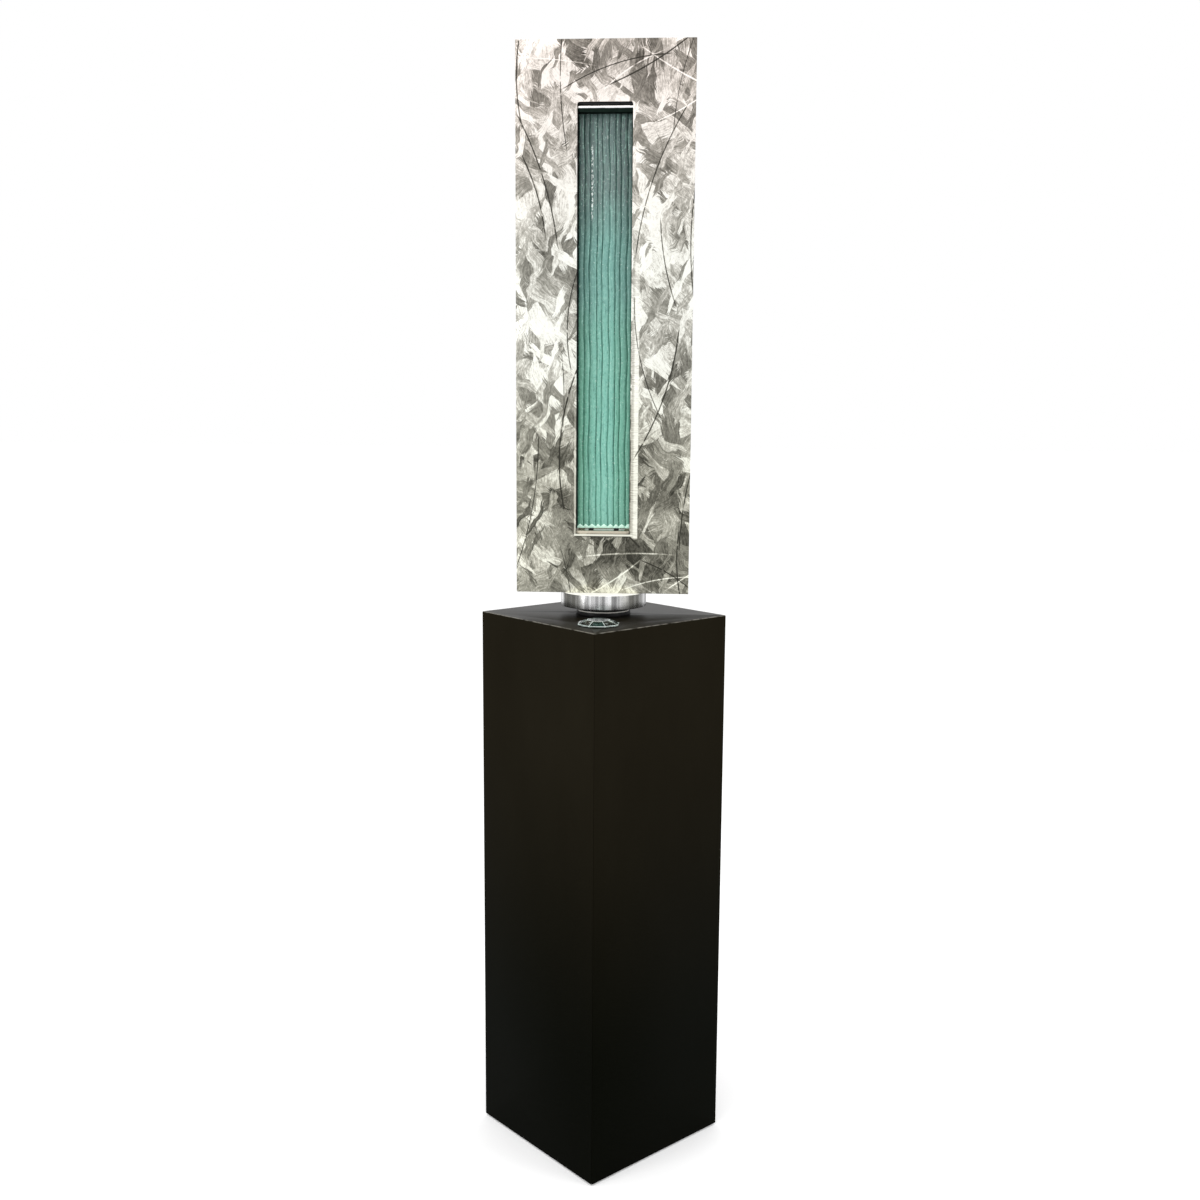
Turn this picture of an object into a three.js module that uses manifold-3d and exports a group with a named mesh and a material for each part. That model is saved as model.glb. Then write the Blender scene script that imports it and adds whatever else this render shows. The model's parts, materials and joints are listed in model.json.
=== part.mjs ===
// A free-standing water wall fountain: a square black plinth, and on it a tall metal head that swivels on a turntable.
// The head has a slot through it that holds a reeded glass panel. Water is pumped from a tank in the plinth to a
// spreader tube at the top of the slot, runs down the glass into a catch trough and drains back to the tank.
// Millimetres, +Z up, origin on the floor under the middle of the plinth, -Y is the front.
import * as THREE from "three";
import { mergeVertices } from "three/addons/utils/BufferGeometryUtils.js";
import { ConvexGeometry } from "three/addons/geometries/ConvexGeometry.js";
import Module from "manifold-3d";

const wasm = await Module();
wasm.setup();

// ---------- Driving dimensions ----------

// Plinth, turned so that one corner points to the front.
const plinthSide = 305;
const plinthHeight = 960;
const boardThickness = 18;
const mitreEase = 0.2; // each mitred board stops this much short of the true corner
const glideRadius = 15;
const glideHeight = 3;
const glideInset = 42;
const shelfHeight = 560; // top face of the shelf that carries the tank
const cableHoleRadius = 16;
const cableHoleInset = 20; // from the inner face of the back left board to the hole's middle

// Turntable between plinth and head.
const turntableRadius = 47.5;
const lowerRingHeight = 6;
const slipWasherHeight = 2;
const upperRingHeight = 7;
const spindleRadius = 20;
const spindleWall = 3;
const spindleFlangeRadius = 32;
const spindleFlangeHeight = 4;
const thrustWasherHeight = 2;
const nutHeight = 10;
const nutAcrossFlats = 58;
const baseDiscRadius = 75;
const baseDiscHeight = 25;
const baseDiscChamfer = 1;

// Head.
const headWidth = 298;
const headDepth = 76;
const headHeight = 914;
const plateThickness = 3;
const slotWidth = 92;
const slotSill = 102.4; // from the head's lower edge to the slot
const slotHeader = 98.6; // from the slot to the head's upper edge
const slotCornerRadius = 4;
const linerThickness = 2;
const linerSetback = 2.5; // liner's inner faces stand this far behind the slot's edges
const screwRadius = 2;
const screwHeadRadius = 4.5;
const screwHeadHeight = 2.4;
const screwInset = 12;
const lugSize = 14;
const lugThickness = 4;

// Glass and what holds it.
const ribCount = 9;
const ribDepth = 3;
const glassThickness = 12;
const glassFrontSetback = 24; // from the head's front face to the crests of the ribs
const glassTopClearance = 4;
const glassAboveLip = 3;
const settingBlockWidth = 8;
const settingBlockSpacing = 44;

// Water path in the head.
const troughLip = 5; // the trough's lip stands this far above the slot's sill
const troughDepth = 14;
const troughWall = 2.5;
const spreaderRadius = 8;
const spreaderWall = 1.5;
const spreaderDrop = 9.5; // from the slot's upper edge to the tube's axis
const spreaderSetback = 12; // from the head's front face to the tube's axis
const spreaderReach = 12; // the tube runs this far past the liner to meet the riser
const slitWidth = 2;
const riserRadius = 6;
const riserWall = 2;
const riserFront = 4; // the riser passes the spindle this far in front of its axis
const riserLane = 27; // from the liner's outer face to the riser's axis
const drainRadius = 8;
const drainWall = 1.5;
const drainSpare = 1; // from the spindle's bore to the drain
const riserSpare = 2; // from the spindle's bore to the riser, sideways
const leadSpare = 3.5; // from the spindle's bore to the light lead, backwards
const lightBarLength = 70;
const lightBarDepth = 14;
const lightBarHeight = 9;
const lightBarSetback = 50; // from the head's front face to the bar's front
const leadRadius = 2.5;
const leadSide = 5; // the light lead passes the spindle this far to the right of its axis
const lightGlandX = 28;
const tubeDrop = 90; // riser, lead and drain end this far under the plinth's top or lower

// Tank and pump.
const tankSide = 190;
const tankHeight = 180;
const tankWall = 4;
const tankShift = 21; // towards both front boards, so that the filling tube stands over the tank
const tankRim = 4;
const pumpWidth = 70;
const pumpDepth = 50;
const pumpHeight = 60;
const chamberRadius = 22;
const chamberDepth = 22;
const impellerAxleRadius = 2;
const impellerHubRadius = 5;
const impellerRadius = 20;
const impellerWidth = 14;
const impellerBlades = 6;
const bladeThickness = 2;
const strainerThickness = 5;
const strainerSlots = 5;
const dialRadius = 11;
const dialHeight = 5;
const outletRadius = 6;
const outletWall = 2;
const outletHeight = 22;
const hoseWall = 2.2;
const hoseGrip = 18; // length of hose pushed over the outlet and over the riser

// Filling port on the plinth's top, closed by a glass stopper.
const fillDistance = 128; // from the plinth's middle towards the front corner
const fillHoleRadius = 15;
const fillTubeWall = 2;
const fillFlangeRadius = 26;
const fillFlangeHeight = 3;
const plugLength = 22;
const plugTaper = 1.2;
const jewelRadius = 36.5;
const jewelHeight = 9;
const jewelTableRadius = 19.5;
const jewelFacets = 8;

// Service door in the back right face.
const doorGap = 1.5;
const hingeHeight = 720;
const knuckleRadius = 4;
const hingePinRadius = 1.8;
const leafThickness = 2;
const doorLeafWidth = 26;
const fixedLeafWidth = 15;
const knuckleCount = 5;
const pullLength = 120;
const pullReach = 26;
const pullRadius = 5;
const pullInset = 28;
const catchLength = 44;
const catchWidth = 14;
const catchDepth = 12;
const catchPlateThickness = 2;

// Electrics in the foot of the plinth.
const inletWidth = 62;
const inletTall = 34;
const inletDepth = 30;
const inletFlange = 4;
const inletFlangeThickness = 2.5;
const inletHeight = 110;
const inletAcross = 70;
const socketWidth = 26;
const socketTall = 20;
const socketDepth = 18;
const contactRecess = 8.5; // the contacts start this far inside the socket's mouth
const windowWidth = 14;
const windowTall = 24;
const rockerWidth = 12;
const rockerRadius = 8;
const rockerTilt = 7;
const driverLength = 110;
const driverWidth = 45;
const driverHeight = 30;
const driverBack = 45; // from the inner face of the back left board to the driver
const cableRadius = 3.5;

// Clearances.
const gap = 0.3; // between two pieces that touch in the real object
const screwClearance = 0.4;

// ---------- Sizes that follow ----------

const half = plinthSide / 2;
const innerHalf = half - boardThickness;
const doorFace = half - mitreEase;
const doorInside = doorFace - boardThickness;
const topUnderside = plinthHeight - boardThickness;

// The spindle's bore takes the drain on its left side, the riser on its right side and the light lead behind them.
const spindleInner = spindleRadius - spindleWall;
const drainOffset = [drainRadius + drainSpare - spindleInner, 0];
const riserOffset = [spindleInner - riserRadius - riserSpare, -riserFront];
const leadOffset = [leadSide, spindleInner - leadRadius - leadSpare];

const lowerRingZ = plinthHeight + gap;
const slipWasherZ = lowerRingZ + lowerRingHeight + gap;
const upperRingZ = slipWasherZ + slipWasherHeight + gap;
const baseDiscZ = upperRingZ + upperRingHeight + gap;
const headZ = baseDiscZ + baseDiscHeight + gap;
const headTop = headZ + headHeight;
const spindleFlangeZ = headZ + plateThickness + gap;
const thrustWasherZ = topUnderside - gap - thrustWasherHeight;
const nutZ = thrustWasherZ - gap - nutHeight;
const tubeEndZ = topUnderside - tubeDrop;

const headFront = -headDepth / 2;
const plateInside = headDepth / 2 - plateThickness - gap;
const slotZ = headZ + slotSill;
const slotTop = headTop - slotHeader;
const linerHalf = slotWidth / 2 + linerSetback;
const linerTop = slotTop + linerSetback;

const lipZ = slotZ + troughLip;
const troughZ = lipZ - troughDepth;
const troughFloorZ = troughZ + troughWall;
const glassZ = lipZ + glassAboveLip;
const glassTopZ = linerTop - glassTopClearance;
const glassFront = headFront + glassFrontSetback;
const glassBack = glassFront + glassThickness;

const spreaderY = headFront + spreaderSetback;
const spreaderZ = slotTop - spreaderDrop;
const spreaderEnd = linerHalf + linerThickness + spreaderReach;
const riserX = linerHalf + linerThickness + riserLane;

const tankZ = shelfHeight + gap;
const tankTop = tankZ + tankHeight;
const pumpZ = tankZ + tankWall + gap;
const pumpCorner = tankSide / 2 - tankShift - tankWall - 16; // keeps the pump clear of the tank's two inner walls
const pumpX = pumpCorner - pumpWidth / 2;
const pumpY = pumpCorner - pumpDepth / 2;
const pumpFront = pumpY - pumpDepth / 2;
const outletTop = pumpZ + pumpHeight + outletHeight;
const fillLocal = -fillDistance / Math.SQRT2;

const pinX = doorFace + gap + knuckleRadius;
const pinY = innerHalf;
const hingeZ = (topUnderside - hingeHeight) / 2;
const knuckleHeight = hingeHeight / knuckleCount;

// ---------- Materials ----------

function material(color, roughness, metalness) {
  return new THREE.MeshStandardMaterial({ color, roughness, metalness });
}

const blackPaint = material(0x0b0a09, 0.45, 0);
const blackBoard = material(0x191817, 0.8, 0);
const groundAluminium = material(0xb6b5ae, 0.32, 1);
const turnedAluminium = material(0xc4c4c2, 0.25, 1);
const foldedAluminium = material(0x9c9c98, 0.45, 1);
const chrome = material(0xe6e8e8, 0.06, 1);
const reededGlass = material(0x7fb3aa, 0.08, 0);
const clearGlass = material(0xd5e2dc, 0.04, 0);
const blackRubber = material(0x16171a, 0.85, 0);
const whiteNylon = material(0xdeddd6, 0.5, 0);
const blackPlastic = material(0x1c1d1f, 0.5, 0);
const greyPlastic = material(0x6d7074, 0.55, 0);
const paleAcrylic = material(0xe9ece6, 0.3, 0);
const zincSteel = material(0xa7a8a5, 0.4, 1);
const blackSteel = material(0x27282a, 0.4, 1);
const clearHose = material(0xbfcac8, 0.2, 0);

// ---------- Making, joining and cutting solids ----------

function signedVolume(geometry) {
  const p = geometry.getAttribute("position");
  const a = new THREE.Vector3();
  const b = new THREE.Vector3();
  const c = new THREE.Vector3();
  let sum = 0;
  for (let i = 0; i < p.count; i += 3) {
    a.fromBufferAttribute(p, i);
    b.fromBufferAttribute(p, i + 1);
    c.fromBufferAttribute(p, i + 2);
    sum += a.dot(b.cross(c)) / 6;
  }
  return sum;
}

// Turns a three.js shape into a solid that can be joined and cut. A shape wound inside out is turned round.
function solid(geometry) {
  const flat = geometry.index ? geometry.toNonIndexed() : geometry.clone();
  flat.deleteAttribute("normal");
  flat.deleteAttribute("uv");
  const inward = signedVolume(flat) < 0;
  const merged = mergeVertices(flat, 1e-4);
  const triVerts = new Uint32Array(merged.index.array);
  if (inward) {
    for (let i = 0; i < triVerts.length; i += 3) {
      [triVerts[i + 1], triVerts[i + 2]] = [triVerts[i + 2], triVerts[i + 1]];
    }
  }
  const vertProperties = new Float32Array(merged.getAttribute("position").array);
  return new wasm.Manifold(new wasm.Mesh({ numProp: 3, vertProperties, triVerts }));
}

function join(first, ...others) {
  return others.reduce((whole, other) => whole.add(other), first);
}

function cut(first, ...others) {
  return others.reduce((whole, other) => whole.subtract(other), first);
}

function geometryOf(made) {
  const mesh = made.getMesh();
  const geometry = new THREE.BufferGeometry();
  geometry.setAttribute("position", new THREE.BufferAttribute(new Float32Array(mesh.vertProperties), 3));
  geometry.setIndex(new THREE.BufferAttribute(new Uint32Array(mesh.triVerts), 1));
  const faceted = geometry.toNonIndexed();
  faceted.computeVertexNormals();
  return faceted;
}

// A box between two opposite corners.
function box(x0, x1, y0, y1, z0, z1) {
  const shape = new THREE.BoxGeometry(x1 - x0, y1 - y0, z1 - z0);
  shape.translate((x0 + x1) / 2, (y0 + y1) / 2, (z0 + z1) / 2);
  return solid(shape);
}

// A shape turned about the Z axis from a closed profile of [radius, height] points.
function turned(profile, segments = 48) {
  const points = profile.map(([r, z]) => new THREE.Vector2(r, z));
  const shape = new THREE.LatheGeometry(points, segments);
  shape.rotateX(Math.PI / 2);
  return solid(shape);
}

function cylinder(radius, z0, z1, segments = 48) {
  return turned([[0, z0], [radius, z0], [radius, z1], [0, z1]], segments);
}

function ring(outer, inner, z0, z1, segments = 48) {
  return turned([[inner, z0], [outer, z0], [outer, z1], [inner, z1], [inner, z0]], segments);
}

// A cylinder lying along X or along Y.
function cylinderX(radius, x0, x1, y, z, segments = 32) {
  return cylinder(radius, x0, x1, segments).rotate([0, 90, 0]).translate([0, y, z]);
}

function cylinderY(radius, y0, y1, x, z, segments = 32) {
  return cylinder(radius, -y1, -y0, segments).rotate([90, 0, 0]).translate([x, 0, z]);
}

function prism(points, depth) {
  const shape = new THREE.Shape(points.map(([x, y]) => new THREE.Vector2(x, y)));
  return solid(new THREE.ExtrudeGeometry(shape, { depth, bevelEnabled: false }));
}

// A round bar or hose along a path. Its bore is left out for a solid cable.
function along(path, radius, bore, steps, segments = 6) {
  const shape = new THREE.Shape();
  shape.absarc(0, 0, radius, 0, Math.PI * 2, false);
  if (bore > 0) {
    const hole = new THREE.Path();
    hole.absarc(0, 0, bore, 0, Math.PI * 2, true);
    shape.holes.push(hole);
  }
  const settings = { steps, extrudePath: path, curveSegments: segments, bevelEnabled: false };
  return solid(new THREE.ExtrudeGeometry(shape, settings));
}

// A path made of straight runs and smooth bends: each stop is a point, and a bend has its two handles before it.
function route(start, ...legs) {
  const path = new THREE.CurvePath();
  let from = new THREE.Vector3(...start);
  for (const leg of legs) {
    const points = leg.map((p) => new THREE.Vector3(...p));
    const to = points[points.length - 1];
    if (points.length === 1) path.add(new THREE.LineCurve3(from, to));
    else path.add(new THREE.CubicBezierCurve3(from, points[0], points[1], to));
    from = to;
  }
  return path;
}

const fountain = new THREE.Group();
fountain.name = "water_wall_fountain";
const plinth = new THREE.Group();
plinth.name = "plinth";
plinth.rotation.z = Math.PI / 4;
const head = new THREE.Group();
head.name = "head";
fountain.add(plinth, head);

function piece(group, name, made, look) {
  const mesh = new THREE.Mesh(geometryOf(made), look);
  mesh.name = name;
  group.add(mesh);
  return mesh;
}

// In the plinth's own frame the door is on +X, the back left board on +Y and the two front boards on -X and -Y.
// A point of that frame, given in the fountain's frame.
function fromFountain(x, y, z) {
  return [(x + y) / Math.SQRT2, (y - x) / Math.SQRT2, z];
}

// ---------- Plinth boards ----------

// A board on the -Y face. Its top edge is mitred to the plinth's top, and each end is mitred or square.
function sideBoard(leftMitred, rightMitred) {
  const end = half - mitreEase;
  const left = leftMitred ? boardThickness : 0;
  const right = rightMitred ? boardThickness : 0;
  const outerTop = plinthHeight - mitreEase;
  const innerTop = outerTop - boardThickness;
  return solid(
    new ConvexGeometry([
      new THREE.Vector3(-end, -half, glideHeight),
      new THREE.Vector3(end, -half, glideHeight),
      new THREE.Vector3(-end, -half, outerTop),
      new THREE.Vector3(end, -half, outerTop),
      new THREE.Vector3(-end + left, -innerHalf, glideHeight),
      new THREE.Vector3(end - right, -innerHalf, glideHeight),
      new THREE.Vector3(-end + left, -innerHalf, innerTop),
      new THREE.Vector3(end - right, -innerHalf, innerTop),
    ]),
  );
}

const frontRight = sideBoard(true, false);
const frontLeft = sideBoard(true, true).rotate([0, 0, -90]);
const inletX = -inletAcross + inletWidth / 2; // middle of the inlet, measured as on the -Y face before it turns
const inletHole = box(
  inletX - inletWidth / 2 - gap,
  inletX + inletWidth / 2 + gap,
  -half - 1,
  -innerHalf + 1,
  inletHeight - inletTall / 2 - gap,
  inletHeight + inletTall / 2 + gap,
);
const backLeft = cut(sideBoard(false, true), inletHole).rotate([0, 0, 180]);
piece(plinth, "front_left_side", frontLeft, blackPaint);
piece(plinth, "front_right_side", frontRight, blackPaint);
piece(plinth, "back_left_side", backLeft, blackPaint);

// The top is mitred to the three fixed boards and square over the door.
const topEnd = half - mitreEase;
const topShape = solid(
  new ConvexGeometry([
    new THREE.Vector3(-topEnd, -topEnd, plinthHeight),
    new THREE.Vector3(-topEnd, topEnd, plinthHeight),
    new THREE.Vector3(doorFace, -topEnd, plinthHeight),
    new THREE.Vector3(doorFace, topEnd, plinthHeight),
    new THREE.Vector3(-topEnd + boardThickness, -topEnd + boardThickness, topUnderside),
    new THREE.Vector3(-topEnd + boardThickness, topEnd - boardThickness, topUnderside),
    new THREE.Vector3(doorFace, -topEnd + boardThickness, topUnderside),
    new THREE.Vector3(doorFace, topEnd - boardThickness, topUnderside),
  ]),
);
const spindleHole = cylinder(spindleRadius + gap, topUnderside - 1, plinthHeight + 1);
const fillHole = cylinder(fillHoleRadius, topUnderside - 1, plinthHeight + 1).translate([fillLocal, fillLocal, 0]);
piece(plinth, "plinth_top", cut(topShape, spindleHole, fillHole), blackPaint);

// Floor and shelf are the same board at two heights, let in between the sides.
function insetBoard(z) {
  const reach = innerHalf - gap;
  return box(-reach, doorInside - doorGap, -reach, reach, z, z + boardThickness);
}
piece(plinth, "plinth_floor", insetBoard(glideHeight), blackBoard);
const cableY = innerHalf - cableHoleInset;
const shelfZ = shelfHeight - boardThickness;
const cableHole = cylinder(cableHoleRadius, shelfZ - 1, shelfHeight + 1, 32).translate([0, cableY, 0]);
piece(plinth, "shelf", cut(insetBoard(shelfZ), cableHole), blackBoard);

const glideReach = half - glideInset;
const glideCorners = [[-1, -1], [1, -1], [1, 1], [-1, 1]];
glideCorners.forEach(([sx, sy], i) => {
  const disc = cylinder(glideRadius, 0, glideHeight - gap, 32).translate([sx * glideReach, sy * glideReach, 0]);
  piece(plinth, `glide_${i + 1}`, disc, whiteNylon);
});

// ---------- Service door, hinge, pull and catch ----------

const doorEdge = innerHalf - doorGap;
const doorFoot = glideHeight + doorGap;
const doorTop = topUnderside - doorGap;
piece(plinth, "service_door", box(doorInside, doorFace, -doorEdge, doorEdge, doorFoot, doorTop), blackPaint);

// One leaf of the long hinge: a strip with every second knuckle of the barrel.
function hingeLeaf(side, width, firstKnuckle) {
  const near = knuckleRadius + 2 * gap;
  const inner = pinY + side * near;
  const outer = pinY + side * width;
  const strip = box(
    doorFace + gap,
    doorFace + gap + leafThickness,
    Math.min(inner, outer),
    Math.max(inner, outer),
    hingeZ,
    hingeZ + hingeHeight,
  );
  const parts = [];
  for (let i = firstKnuckle; i < knuckleCount; i += 2) {
    const z0 = hingeZ + i * knuckleHeight + gap / 2;
    const z1 = z0 + knuckleHeight - gap;
    parts.push(cylinder(knuckleRadius, z0, z1, 24).translate([pinX, pinY, 0]));
    const bridgeLow = Math.min(pinY, inner + side * 1);
    const bridgeHigh = Math.max(pinY, inner + side * 1);
    parts.push(box(doorFace + gap, doorFace + gap + leafThickness, bridgeLow, bridgeHigh, z0, z1));
  }
  const bore = cylinder(hingePinRadius + gap, hingeZ - 1, hingeZ + hingeHeight + 1, 24).translate([pinX, pinY, 0]);
  return cut(join(strip, ...parts), bore);
}
piece(plinth, "hinge_fixed_leaf", hingeLeaf(1, fixedLeafWidth, 0), blackSteel);
piece(plinth, "hinge_door_leaf", hingeLeaf(-1, doorLeafWidth, 1), blackSteel);
const pinShape = cylinder(hingePinRadius, hingeZ - 1, hingeZ + hingeHeight + 1, 24).translate([pinX, pinY, 0]);
piece(plinth, "hinge_pin", pinShape, zincSteel);

const pullY = -doorEdge + pullInset;
const pullMiddle = (doorFoot + doorTop) / 2;
const pullFoot = doorFace + gap;
const pullBar = turned(
  [[0, -pullLength / 2], [pullRadius - 1, -pullLength / 2], [pullRadius, -pullLength / 2 + 1],
    [pullRadius, pullLength / 2 - 1], [pullRadius - 1, pullLength / 2], [0, pullLength / 2]],
  24,
).translate([pullFoot + pullReach, pullY, pullMiddle]);
const pullPosts = [-1, 1].map((side) => {
  const z = pullMiddle + side * (pullLength / 2 - 3 * pullRadius);
  return cylinderX(pullRadius * 0.8, pullFoot, pullFoot + pullReach, pullY, z, 24);
});
piece(plinth, "door_pull", join(pullBar, ...pullPosts), blackSteel);

const catchZ = pullMiddle - catchLength / 2;
const plateX = doorInside - gap - catchPlateThickness;
const catchY = -innerHalf + gap;
const catchBlock = box(plateX - gap - catchDepth, plateX - gap, catchY, catchY + catchWidth, catchZ, catchZ + catchLength);
const catchPlateLow = Math.max(catchY, -doorEdge + gap);
const catchPlate = box(
  plateX,
  plateX + catchPlateThickness,
  catchPlateLow,
  catchPlateLow + catchWidth,
  catchZ,
  catchZ + catchLength,
);
piece(plinth, "catch_magnet", catchBlock, greyPlastic);
piece(plinth, "catch_plate", catchPlate, zincSteel);

// ---------- Power inlet, switch, light driver and its cables ----------

// Made on the -Y face and turned to the back left board, like the hole it sits in.
const inletFace = -half - gap;
const inletBody = box(
  inletX - inletWidth / 2,
  inletX + inletWidth / 2,
  inletFace,
  inletFace + inletDepth,
  inletHeight - inletTall / 2,
  inletHeight + inletTall / 2,
);
const inletPlate = box(
  inletX - inletWidth / 2 - inletFlange,
  inletX + inletWidth / 2 + inletFlange,
  inletFace - inletFlangeThickness,
  inletFace,
  inletHeight - inletTall / 2 - inletFlange,
  inletHeight + inletTall / 2 + inletFlange,
);
const inletFront = inletFace - inletFlangeThickness;
const socketX = inletX - inletWidth / 4 + 2;
const windowX = inletX + inletWidth / 4 + 2;
const socket = box(
  socketX - socketWidth / 2,
  socketX + socketWidth / 2,
  inletFront - 1,
  inletFront + socketDepth,
  inletHeight - socketTall / 2,
  inletHeight + socketTall / 2,
);
const rockerWindow = box(
  windowX - windowWidth / 2,
  windowX + windowWidth / 2,
  inletFront - 1,
  inletFront + socketDepth,
  inletHeight - windowTall / 2,
  inletHeight + windowTall / 2,
);
const contacts = [[-6, -3], [0, 4], [6, -3]].map(([dx, dz]) => {
  const x = socketX + dx;
  const z = inletHeight + dz;
  return box(x - 1, x + 1, inletFront + contactRecess, inletFront + socketDepth + 1, z - 2, z + 2);
});
const inlet = join(cut(join(inletBody, inletPlate), socket, rockerWindow), ...contacts);
piece(plinth, "power_inlet", inlet.rotate([0, 0, 180]), blackPlastic);

// The rocker is a round-backed bar with a shallow V front, stored tipped to its off side.
const rockerPivotY = inletFront + rockerRadius - 2;
const rockerFront = [
  [rockerRadius * 1.2, -rockerRadius * 0.72],
  [0, -rockerRadius * 0.5],
  [-rockerRadius * 1.2, -rockerRadius * 0.72],
];
const rockerBack = [];
for (let i = 0; i <= 12; i += 1) {
  const a = Math.PI - (Math.PI * i) / 12;
  rockerBack.push([Math.cos(a) * rockerRadius, Math.sin(a) * rockerRadius * 0.9]);
}
const rocker = prism([...rockerFront, ...rockerBack], rockerWidth)
  .translate([0, 0, -rockerWidth / 2])
  .rotate([0, 0, rockerTilt])
  .rotate([0, 90, 0]);
piece(
  plinth,
  "rocker_switch",
  rocker.translate([windowX, rockerPivotY, inletHeight]).rotate([0, 0, 180]),
  blackPlastic,
);

const driverZ = glideHeight + boardThickness + gap;
const driverFarY = innerHalf - driverBack;
const driver = box(
  -driverLength / 2,
  driverLength / 2,
  driverFarY - driverWidth,
  driverFarY,
  driverZ,
  driverZ + driverHeight,
);
piece(plinth, "light_driver", driver, greyPlastic);
const driverMidZ = driverZ + driverHeight / 2;

const inletBackY = half + gap - inletDepth - gap;
const powerPath = route(
  [-inletX, inletBackY, inletHeight],
  [
    [-inletX, inletBackY - 45, inletHeight],
    [driverLength / 2 + 70, driverFarY - driverWidth / 2, driverMidZ],
    [driverLength / 2 + gap, driverFarY - driverWidth / 2, driverMidZ],
  ],
);
piece(plinth, "power_cable", along(powerPath, cableRadius, 0, 20, 5), blackRubber);

// Both leads leave the driver's back, rise behind the tank through the shelf's cable hole and cross to their ends.
const lightLane = cableHoleRadius / 2;
const pumpLane = -cableHoleRadius / 2;
const bendFoot = driverMidZ + 40;
const tailEnd = fromFountain(leadOffset[0], leadOffset[1], tubeEndZ - gap);
const tailPath = route(
  [lightLane, driverFarY + gap, driverMidZ],
  [[lightLane, cableY, driverMidZ], [lightLane, cableY, driverMidZ + 8], [lightLane, cableY, bendFoot]],
  [[lightLane, cableY, tankTop - 30]],
  [
    [lightLane, cableY, tankTop + 60],
    [tailEnd[0], tailEnd[1], tankTop],
    [tailEnd[0], tailEnd[1], tubeEndZ - 20],
  ],
  [tailEnd],
);
const tailPlug = cylinder(leadRadius + 2.5, tubeEndZ - 22, tubeEndZ - gap, 16).translate([tailEnd[0], tailEnd[1], 0]);
piece(plinth, "light_tail", join(along(tailPath, leadRadius, 0, 48, 4), tailPlug), blackRubber);

// ---------- Tank, filling tube, pump ----------

const tankLow = -tankShift - tankSide / 2;
const tankHigh = -tankShift + tankSide / 2;
const tankOuter = box(tankLow, tankHigh, tankLow, tankHigh, tankZ, tankTop);
const tankRimShape = box(
  tankLow - tankRim,
  tankHigh + tankRim,
  tankLow - tankRim,
  tankHigh + tankRim,
  tankTop - tankWall,
  tankTop,
);
const tankInside = box(
  tankLow + tankWall,
  tankHigh - tankWall,
  tankLow + tankWall,
  tankHigh - tankWall,
  tankZ + tankWall,
  tankTop + 1,
);
piece(plinth, "reservoir_tank", cut(join(tankOuter, tankRimShape), tankInside), greyPlastic);

const fillTubeEnd = tankTop + 12;
const fillTubeTop = topUnderside - gap;
const fillTubeRadius = fillHoleRadius + fillTubeWall;
const fillTube = turned(
  [
    [fillHoleRadius, fillTubeEnd],
    [fillTubeRadius, fillTubeEnd],
    [fillTubeRadius, fillTubeTop - fillFlangeHeight],
    [fillFlangeRadius, fillTubeTop - fillFlangeHeight],
    [fillFlangeRadius, fillTubeTop],
    [fillHoleRadius, fillTubeTop],
    [fillHoleRadius, fillTubeEnd],
  ],
  40,
);
piece(plinth, "fill_tube", fillTube.translate([fillLocal, fillLocal, 0]), greyPlastic);

// The pump's intake chamber faces the front right board. Its axle is moulded into the body.
const pumpMidZ = pumpZ + pumpHeight / 2;
const chamberBack = pumpFront + chamberDepth;
const pumpBlock = box(
  pumpX - pumpWidth / 2,
  pumpX + pumpWidth / 2,
  pumpFront,
  pumpFront + pumpDepth,
  pumpZ,
  pumpZ + pumpHeight,
);
const chamber = cylinderY(chamberRadius, pumpFront - 1, chamberBack, pumpX, pumpMidZ, 40);
const axle = cylinderY(impellerAxleRadius, chamberBack - chamberDepth + 3, chamberBack + 1, pumpX, pumpMidZ, 20);
const outletY = pumpFront + chamberDepth / 2;
const outlet = cylinder(outletRadius, pumpZ + pumpHeight - 1, outletTop, 24).translate([pumpX, outletY, 0]);
const outletBore = cylinder(outletRadius - outletWall, pumpMidZ, outletTop + 1, 24).translate([pumpX, outletY, 0]);
const pumpBody = join(cut(join(pumpBlock, outlet), chamber, outletBore), axle);
piece(plinth, "pump_body", pumpBody, blackPlastic);

const strainerBack = pumpFront - gap;
const strainerFront = strainerBack - strainerThickness;
const strainerPlate = box(
  pumpX - pumpWidth / 2,
  pumpX + pumpWidth / 2,
  strainerFront,
  strainerBack,
  pumpZ,
  pumpZ + pumpHeight,
);
const slotPitch = (pumpHeight - 12) / strainerSlots;
const intakeSlots = [];
for (let i = 0; i < strainerSlots; i += 1) {
  const z = pumpZ + 6 + slotPitch * (i + 0.5);
  const x0 = pumpX - pumpWidth / 2 + 6;
  intakeSlots.push(box(x0, x0 + pumpWidth / 2 - 6 - dialRadius - 3, strainerFront - 1, strainerBack + 1, z - 2, z + 2));
}
const dialBore = cylinderY(3 + gap, strainerFront - 1, strainerBack + 1, pumpX + 12, pumpMidZ, 24);
piece(plinth, "pump_strainer", cut(strainerPlate, dialBore, ...intakeSlots), blackPlastic);

// The flow dial turns on a short stem in the strainer.
const dialBack = strainerFront - gap;
const dialDisc = cylinderY(dialRadius, dialBack - dialHeight, dialBack, pumpX + 12, pumpMidZ, 32);
const dialStem = cylinderY(3, dialBack - 1, strainerBack - gap, pumpX + 12, pumpMidZ, 24);
const dialGrip = box(
  pumpX + 12 - 1.5,
  pumpX + 12 + 1.5,
  dialBack - dialHeight - 3,
  dialBack - dialHeight + 1,
  pumpMidZ - dialRadius + 2,
  pumpMidZ + dialRadius - 2,
);
piece(plinth, "flow_dial", join(dialDisc, dialStem, dialGrip), greyPlastic);

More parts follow.
